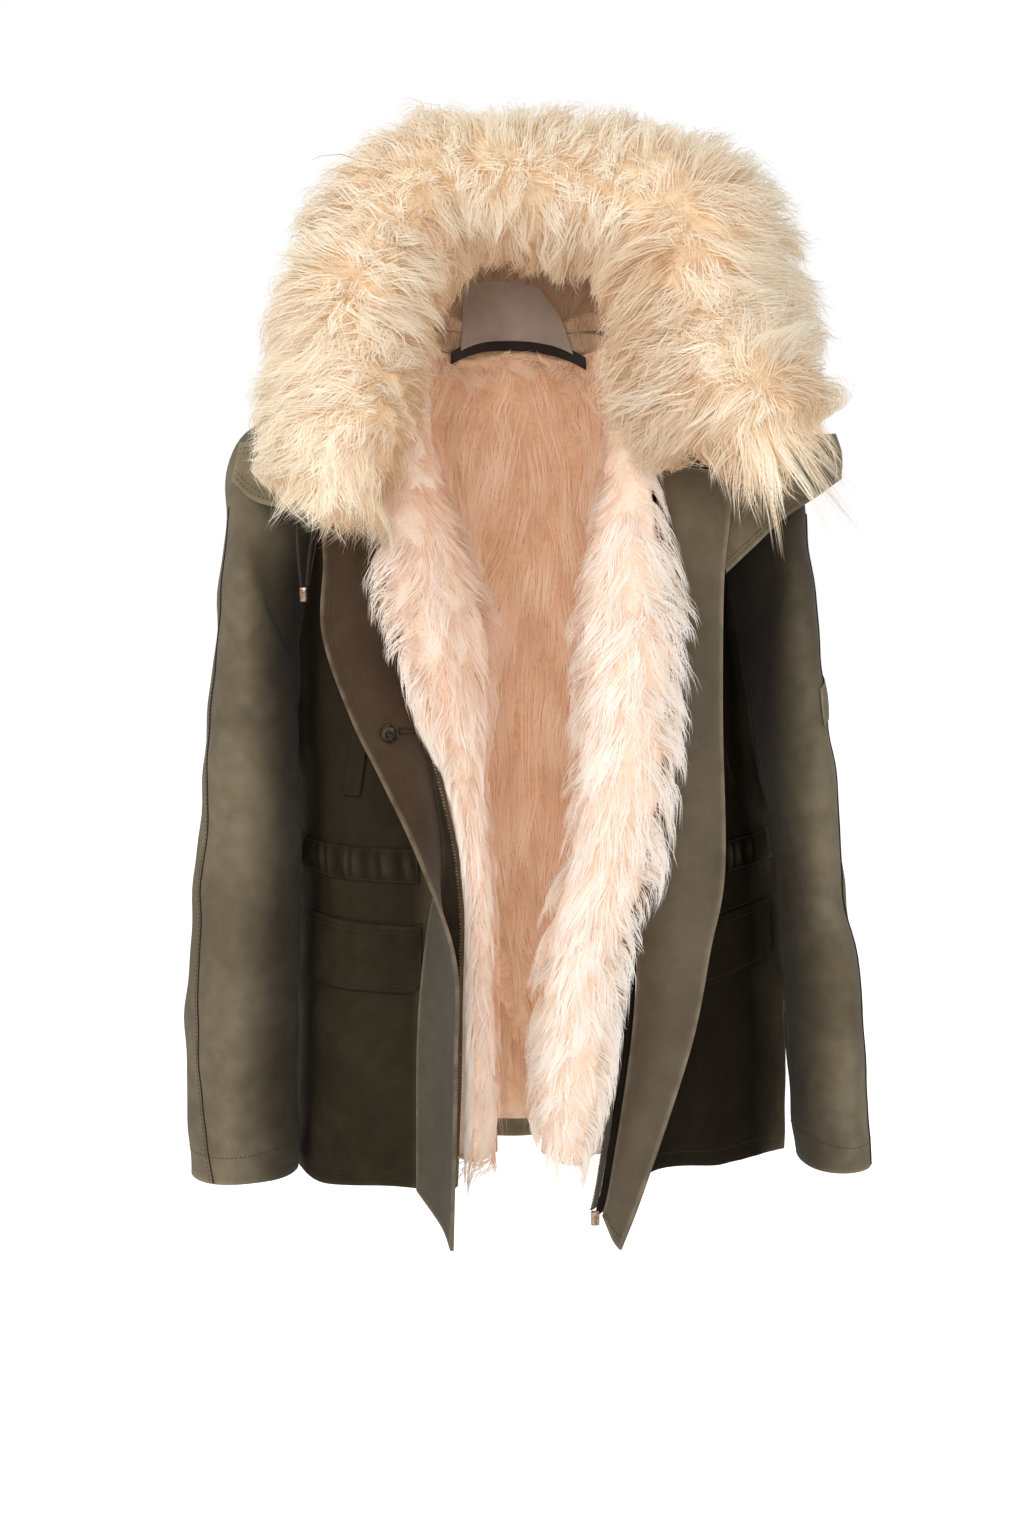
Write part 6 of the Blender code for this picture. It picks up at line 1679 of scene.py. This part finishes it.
# %% Ruff
RUFF_LOCKS = Locks(count=1000, hairs=15, points=5, spread=0.0100, clump=0.76, curl=0.0062, droop=0.005,
                   width=0.00108, contrast=0.24)
WOOL_LEVEL = 0.74
for side_name, first_at, last_at in (("right", 0.0, CROWN), ("left", CROWN, LAST)):
    stations = np.linspace(first_at, last_at, 80)
    angles = np.linspace(0, 2 * math.pi, 60, endpoint=False)
    bare = roll(stations[:, None], angles[None, :], WOOL_LEVEL)
    level = WOOL_LEVEL * np.maximum(ends_in(stations), 0.02)[:, None] * (
        1 + 0.07 * mist(bare, 0.016, 4) + 0.04 * mist(bare, 0.007, 5))
    skin = rolled(f"wool_of_ruff_{side_name}", roll(stations[:, None], angles[None, :], level))
    show(skin, RUFF_WOOL, "fur_cream", [f"ruff_{side_name}"], 0)
    middle = (first_at + last_at) / 2
    for part, (low, high) in enumerate(((first_at, middle), (middle, last_at))):
        rng = np.random.default_rng(11 + part + 5 * (side_name == "left"))
        roots = scatter(roll_coat, (low, high), (CREST, CREST + 2 * math.pi), RUFF_LOCKS.count, rng)
        coat(f"fur_of_ruff_{side_name}_{part}", RUFF_FUR, "fur_cream", roll_coat, roots, ruff_pull, ruff_rise,
             RUFF_LOCKS, ruff_tone, rng)

# %% [markdown]
# ## Fur of the back and the hood
#
# Inside the back the fur is finer and lies flatter. It runs straight down in long wavy locks.
# Inside the hood it is the same fur in a darker copy of its colours: painted shade, darkest in the crown.

# %% Fur of the back
LINING_GAP = 0.0040
BACK_PILE, HOOD_PILE = 0.018, 0.014
BACK_FUR_UP, BACK_FUR_SHARE = (0.14, 6.90), (2 / 26, 24 / 26)
HOOD_FUR_UP, HOOD_FUR_SHARE = (2.0, 10.5), (1 / 24, 23 / 24)
BACK_ROOTS_UP, HOOD_ROOTS_UP = (0.42, 6.78), (2.1, 10.35)
NAPE_DROP, BESIDE_NAPE = 0.176, 0.079       # dips of the back's upper edge: depth in rows, and their width


def pile_on(panel, pile, beyond=0.10):
    """Volume of a flat coat inside a panel: depth 0 is its skin and depth 1 its outline.

    Past the panel's ends it goes on straight up by beyond metres per row."""
    def volume(u, v, depth):
        u, v, depth = np.broadcast_arrays(u, v, depth)
        over = u - np.clip(u, panel.ups[0], panel.ups[-1])
        at = on(panel, u, v, -(CLOTH + LINING_GAP + pile * depth))
        at[..., 2] += over * beyond
        return at
    return volume


def drop_beside(v, drop):
    """How many rows lower the upper edge lies on both sides of the middle."""
    beside = (v - 0.5) / BESIDE_NAPE
    return drop * beside ** 2 * np.exp(-(beside / 1.3) ** 4)


def flat_wool(name, volume, up, share, node, material, drop=0.0):
    """Closed wall of dense wool from the skin to half of the pile, with tufts on it."""
    v = np.linspace(*share, 52)[None, :]
    top = up[1] - drop_beside(v, drop)
    u = up[0] + np.linspace(0, 1, 64)[:, None] * (top - up[0])
    tufts = 0.50 + 0.12 * mist(volume(u, v, 0.5), 0.014, 6)
    return show(wall(name, volume(u, v, 0.0), volume(u, v, tufts)), material, "fur_lining", [node], 0)


def sway_pull(far, pace, lean, start, rise):
    """Comb that sways aside by far in waves across the fur, and rises by a fixed length."""
    def pull(at, u, v, along, round_it):
        sway = far * np.sin(pace * at[:, 0] + lean * at[:, 2] + start)
        return np.stack([sway, np.zeros_like(sway), np.full_like(sway, rise)], -1)
    return pull


def back_rise(u, v, rng):
    return np.full(len(u), 0.35), rng.uniform(0.75, 1.10, len(u))


def back_tone(at, u, v):
    """Peach at the top, golden brown towards the hem."""
    return 0.02 + 0.60 * clamp((at[:, 2] + 0.70) / 0.28) + 0.12 * mist(at, 0.03, 8)


def middle_first(u, v):
    """More locks in the middle of the back, which shows, than towards its sides."""
    return 0.25 + np.exp(-((v - 0.5) / 0.26) ** 4)


BACK_LOCKS = Locks(count=700, hairs=15, points=5, spread=0.0120, clump=0.55, curl=0.0045, droop=0.0,
                   width=0.0011, contrast=0.17)
back_coat = pile_on(panels["back"], BACK_PILE)
flat_wool("wool_of_back", back_coat, BACK_FUR_UP, BACK_FUR_SHARE, "lining_back", LINING_WOOL, NAPE_DROP)
rng = np.random.default_rng(31)
roots = scatter(back_coat, BACK_ROOTS_UP, BACK_FUR_SHARE, BACK_LOCKS.count, rng, middle_first)
coat("fur_of_back", LINING_FUR, "fur_lining", back_coat, roots, sway_pull(0.007, 38, 9, 0, -0.072),
     back_rise, BACK_LOCKS, back_tone, rng)

# At the upper edge short locks rise, lean aside and roll over.
CURL_LOCKS = Locks(count=64, hairs=14, points=5, spread=0.006, clump=0.80, curl=0.005, droop=0.016,
                   width=0.0010, contrast=0.10)
CURL_TOP, CURL_SPAN = 6.84, (9.6 / 26, 16.4 / 26)
rng = np.random.default_rng(35)
v = rng.uniform(*CURL_SPAN, CURL_LOCKS.count)
u = CURL_TOP - drop_beside(v, NAPE_DROP) - rng.uniform(0, 0.10, CURL_LOCKS.count)
coat("curls_of_back", LINING_FUR, "fur_lining", back_coat, (u, v), sway_pull(0.010, 130, 0, 1.0, 0.001),
     back_rise, CURL_LOCKS, back_tone, rng)

# %% Fur of the hood
HOOD_LOCKS = Locks(count=400, hairs=13, points=4, spread=0.010, clump=0.70, curl=0.003, droop=0.002,
                   width=0.0013, contrast=0.09)
full_hood_coat = pile_on(hood, HOOD_PILE, -0.058)


def unpressed(u, v):
    """1 where the hood's fur stands free, nearly 0 where the neck panel lies in front of it."""
    return 1 - 0.97 * ease(clamp((u - 7.0) / 0.8)) * clamp((0.33 - abs(v - 0.5)) / 0.06)


def hood_coat(u, v, depth):
    """The hood's fur, pressed flat behind the neck panel."""
    return full_hood_coat(u, v, depth * unpressed(u, v))


def hood_tone(at, u, v):
    """Painted shade: darkest in the crown, paler beside the neck."""
    return 0.35 + 0.60 * clamp((0.06 - at[:, 2]) / 0.05) + 0.2 * mist(at, 0.03, 8)


flat_wool("wool_of_hood", hood_coat, HOOD_FUR_UP, HOOD_FUR_SHARE, "lining_hood", HOOD_WOOL)
rng = np.random.default_rng(41)
roots = scatter(hood_coat, HOOD_ROOTS_UP, HOOD_FUR_SHARE, HOOD_LOCKS.count, rng, unpressed)
coat("fur_of_hood", HOOD_FUR, "fur_lining", hood_coat, roots, sway_pull(0.007, 38, 9, 0, -0.034),
     back_rise, HOOD_LOCKS, hood_tone, rng)

# %% [markdown]
# ## Fur of the fronts
#
# Beside the body the fronts are lined with a thin pile. Along the opening it swells to a thick
# roll that bulges forward past the zip. The roll's section is half an ellipse from its outer
# side over its front to its inner side, and then follows the panel back to the side seam.

# %% Rolls of the fronts
Roll = namedtuple("Roll", "up outer front inner")
ROLL_RIGHT = (
    Roll(0.13, (-0.053, -0.142), -0.152, (-0.030, -0.106)),
    Roll(1.00, (-0.052, -0.145), -0.160, (-0.026, -0.104)),
    Roll(2.00, (-0.054, -0.148), -0.166, (-0.030, -0.106)),
    Roll(2.60, (-0.068, -0.152), -0.174, (-0.036, -0.108)),
    Roll(3.05, (-0.092, -0.158), -0.178, (-0.030, -0.104)),
    Roll(3.80, (-0.118, -0.156), -0.176, (-0.026, -0.096)),
    Roll(4.40, (-0.128, -0.138), -0.158, (-0.038, -0.086)),
    Roll(5.00, (-0.122, -0.118), -0.132, (-0.058, -0.074)),
    Roll(5.50, (-0.112, -0.096), -0.104, (-0.070, -0.056)),
    Roll(6.00, (-0.108, -0.074), -0.079, (-0.076, -0.040)),
    Roll(6.60, (-0.097, -0.036), -0.041, (-0.074, -0.008)),
)
ROLL_LEFT = (
    Roll(0.18, (0.040, -0.176), -0.184, (0.012, -0.126)),
    Roll(0.60, (0.057, -0.184), -0.204, (0.003, -0.128)),
    Roll(1.00, (0.066, -0.186), -0.210, (0.002, -0.126)),
    Roll(1.60, (0.079, -0.190), -0.212, (0.012, -0.122)),
    Roll(2.05, (0.102, -0.194), -0.212, (0.026, -0.120)),
    Roll(3.00, (0.119, -0.182), -0.204, (0.038, -0.114)),
    Roll(3.80, (0.126, -0.170), -0.192, (0.037, -0.106)),
    Roll(4.50, (0.118, -0.146), -0.168, (0.046, -0.092)),
    Roll(5.00, (0.114, -0.124), -0.138, (0.058, -0.076)),
    Roll(5.50, (0.106, -0.098), -0.106, (0.068, -0.058)),
    Roll(6.00, (0.106, -0.074), -0.079, (0.072, -0.040)),
    Roll(6.60, (0.096, -0.036), -0.041, (0.070, -0.006)),
)
FRONT_PILE = 0.015
ROLL_TURNS = np.linspace(0, 1, 7)           # half turns round the roll
PILE_COLUMNS = (2.35, 2.00, 1.60, 1.10, 0.62)
SKIN_COLUMNS = (2.60, 2.10, 1.60, 1.10, 0.62)


def front_lines(rolls, panel, side):
    """Outline and core of a front's fur, as lines of points up the front, one per place around."""
    ups = np.linspace(rolls[0].up, rolls[-1].up, 40)
    rows = np.array([(r.outer[0], r.outer[1], r.front, r.inner[0], r.inner[1]) for r in rolls])
    outer_x, outer_y, front_y, inner_x, inner_y = smooth(
        rows, np.interp(ups, [r.up for r in rolls], np.arange(len(rolls)))).T
    level = on(panel, ups, front_share(side, 2.6), 0.0)[:, 2]
    skin_depth = CLOTH + LINING_GAP
    core_x, core_y = outer_x * 0.45 + inner_x * 0.55, outer_y * 0.5 + inner_y * 0.5
    core_line = np.stack([core_x, core_y, level], -1)
    outline, core = [], []
    for turn in ROLL_TURNS:
        angle = math.pi * turn
        x = (outer_x + inner_x) / 2 + (outer_x - inner_x) / 2 * math.cos(angle)
        bulge = (front_y - (outer_y + inner_y) / 2) * math.sin(angle) ** 0.8
        y = outer_y + (inner_y - outer_y) * turn + bulge
        outline.append(np.stack([x, np.maximum(y, front_y), level], -1))
        core.append(core_line)
    for pile, skin in zip(PILE_COLUMNS, SKIN_COLUMNS):
        outline.append(on(panel, ups, front_share(side, pile), -skin_depth - FRONT_PILE))
        core.append(on(panel, ups, front_share(side, skin), -skin_depth))
    return ups, np.array(outline).swapaxes(0, 1), np.array(core).swapaxes(0, 1)


ROLL_SIDE, ROLL_BEYOND = 0.055, 0.14    # metres back for each unit below 0, and up for each row past the ends
AROUND = 80             # segments of the fine grid around the roll


def roll_volume(ups, outline, core):
    """Volume between the core and the outline of a front's fur; around runs from 0 to 1.

    Below 0 it goes on straight back, along the outer side of the roll."""
    fine = np.linspace(0, outline.shape[1] - 1, AROUND + 1)
    nets = [smooth(net.swapaxes(0, 1), fine).swapaxes(0, 1) for net in (core, outline)]

    def volume(u, v, depth):
        u, v, depth = np.broadcast_arrays(*(np.asarray(x, float) for x in (u, v, depth)))
        row, column = np.interp(u, ups, np.arange(len(ups))), clamp(v) * AROUND
        low, high = (read(net, row, column) for net in nets)
        at = low + (high - low) * depth[..., None]
        at[..., 2] += (u - np.clip(u, ups[0], ups[-1])) * ROLL_BEYOND
        at[..., 1] += np.clip(-v, 0, 0.4) * ROLL_SIDE
        return at
    return volume


print("places around a front's fur:", len(ROLL_TURNS) + len(PILE_COLUMNS))


# %% Fur of both fronts
def front_pull(side):
    """Down, away from the roll's front on both sides, and outwards over the flap."""
    def pull(at, u, v, along, round_it):
        parting = np.tanh((v - 0.24) / 0.12) * np.exp(-clamp(v - 0.5) * 6)
        outer = np.exp(-(np.maximum(v, 0) / 0.16) ** 2)
        reach = 0.010 + 0.014 * (side < 0) * clamp((-0.40 - at[:, 2]) / 0.1)
        return (0.016 * parting[:, None] * round_it + (outer * reach)[:, None] * np.array([side, -0.4, 0.0])
                + np.array([0.0, 0.0, -0.036]))
    return pull


def front_rise(u, v, rng):
    return np.where(v < 0.55, 0.62, 0.35), rng.uniform(0.86, 1.08, len(u)) + 0.12 * np.exp(-(v / 0.12) ** 2)


def front_tone(side):
    """Paler on the wearer's left and along the roll's outer side; darker peach under the ruff and towards the
    inside, which is painted shade.
    """
    def tone(at, u, v):
        under_ruff, inner = clamp((at[:, 2] + 0.19) / 0.09), clamp(v - 0.40)
        outer = np.exp(-(np.maximum(v, 0) / 0.18) ** 2)
        # Painted shade: under_ruff and inner darken the colour.
        return (0.34 + 0.62 * (side > 0) - 0.55 * under_ruff + 0.34 * outer - 0.40 * inner
                + 0.05 * mist(at, 0.03, 8))
    return tone


def roll_first(u, v):
    """Most locks along the roll's outer side, fewer over it, and few inside."""
    return np.where(v < 0.08, 1.0, np.where(v < 0.6, 0.74, 0.22))


FRONT_LOCKS = Locks(count=720, hairs=15, points=5, spread=0.0100, clump=0.74, curl=0.0058, droop=0.003,
                    width=0.00108, contrast=0.13)
for (side_name, side), rolls in zip(SIDES.items(), (ROLL_RIGHT, ROLL_LEFT)):
    ups_of, outline, core = front_lines(rolls, panels[f"front_{side_name}"], side)
    front_coat = roll_volume(ups_of, outline, core)
    u = np.linspace(ups_of[0] + 0.1, ups_of[-1] + 0.1, 64)[:, None]
    v = np.linspace(-0.17, 1, 50)[None, :]
    cover = front_coat(u, v, np.where(v < 0.55, 0.70, 0.45) + 0 * u)
    cover = cover + (0.0035 * mist(cover, 0.014, 7))[..., None] * facing(cover)
    behind = front_coat(u, v, 0.0) + 0.0005 * facing(cover)
    rings = np.concatenate([cover, behind[:, ::-1]], axis=1)
    show(rolled(f"wool_of_front_{side_name}", rings), BREAST_WOOL, "fur_lining", [f"lining_{side_name}"], 0)
    rng = np.random.default_rng(51 + side)
    span = ups_of[0] + 0.15, ups_of[-1] + 0.15
    roots = scatter(front_coat, span, (-0.22, 1.0), FRONT_LOCKS.count, rng, roll_first)
    coat(f"fur_of_front_{side_name}", BREAST_FUR, "fur_lining", front_coat, roots, front_pull(side),
         front_rise, FRONT_LOCKS, front_tone(side), rng)

# %% [markdown]
# ## Floor and finish
#
# A plain pale floor lies at the height of a wearer's soles. The last lines count the pieces added
# and their triangles.

# %% Floor
FLOOR_AT, FLOOR_HALF = -1.46, 40
floor_mesh = bpy.data.meshes.new("floor")
corners = [(x * FLOOR_HALF, y * FLOOR_HALF, FLOOR_AT) for x, y in ((-1, -1), (1, -1), (1, 1), (-1, 1))]
floor_mesh.from_pydata(corners, [], [(0, 1, 2, 3)])
pale = Finish("pale_floor", 0.9)
seen = pale.node("ShaderNodeLightPath", {}, {})
pale.tree.links.new(pale.mix((0.1, 0.1, 0.1), WHITE, seen).socket, pale.shader.inputs["Emission Color"])
pale.shader.inputs["Emission Strength"].default_value = 0.85
floor_mesh.materials.append(pale.wear(pale.mix((0.86, 0.86, 0.86), (0.90, 0.90, 0.90), 0.5)))
floor = bpy.data.objects.new("floor", floor_mesh)
scene.collection.objects.link(floor)

# %% Pieces and triangles
added = [item for item in scene.objects if item.type == "MESH" and item.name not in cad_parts]
triangles = sum(len(face.vertices) - 2 for item in added for face in item.data.polygons)
print("pieces added:", len(added), "triangles:", triangles)
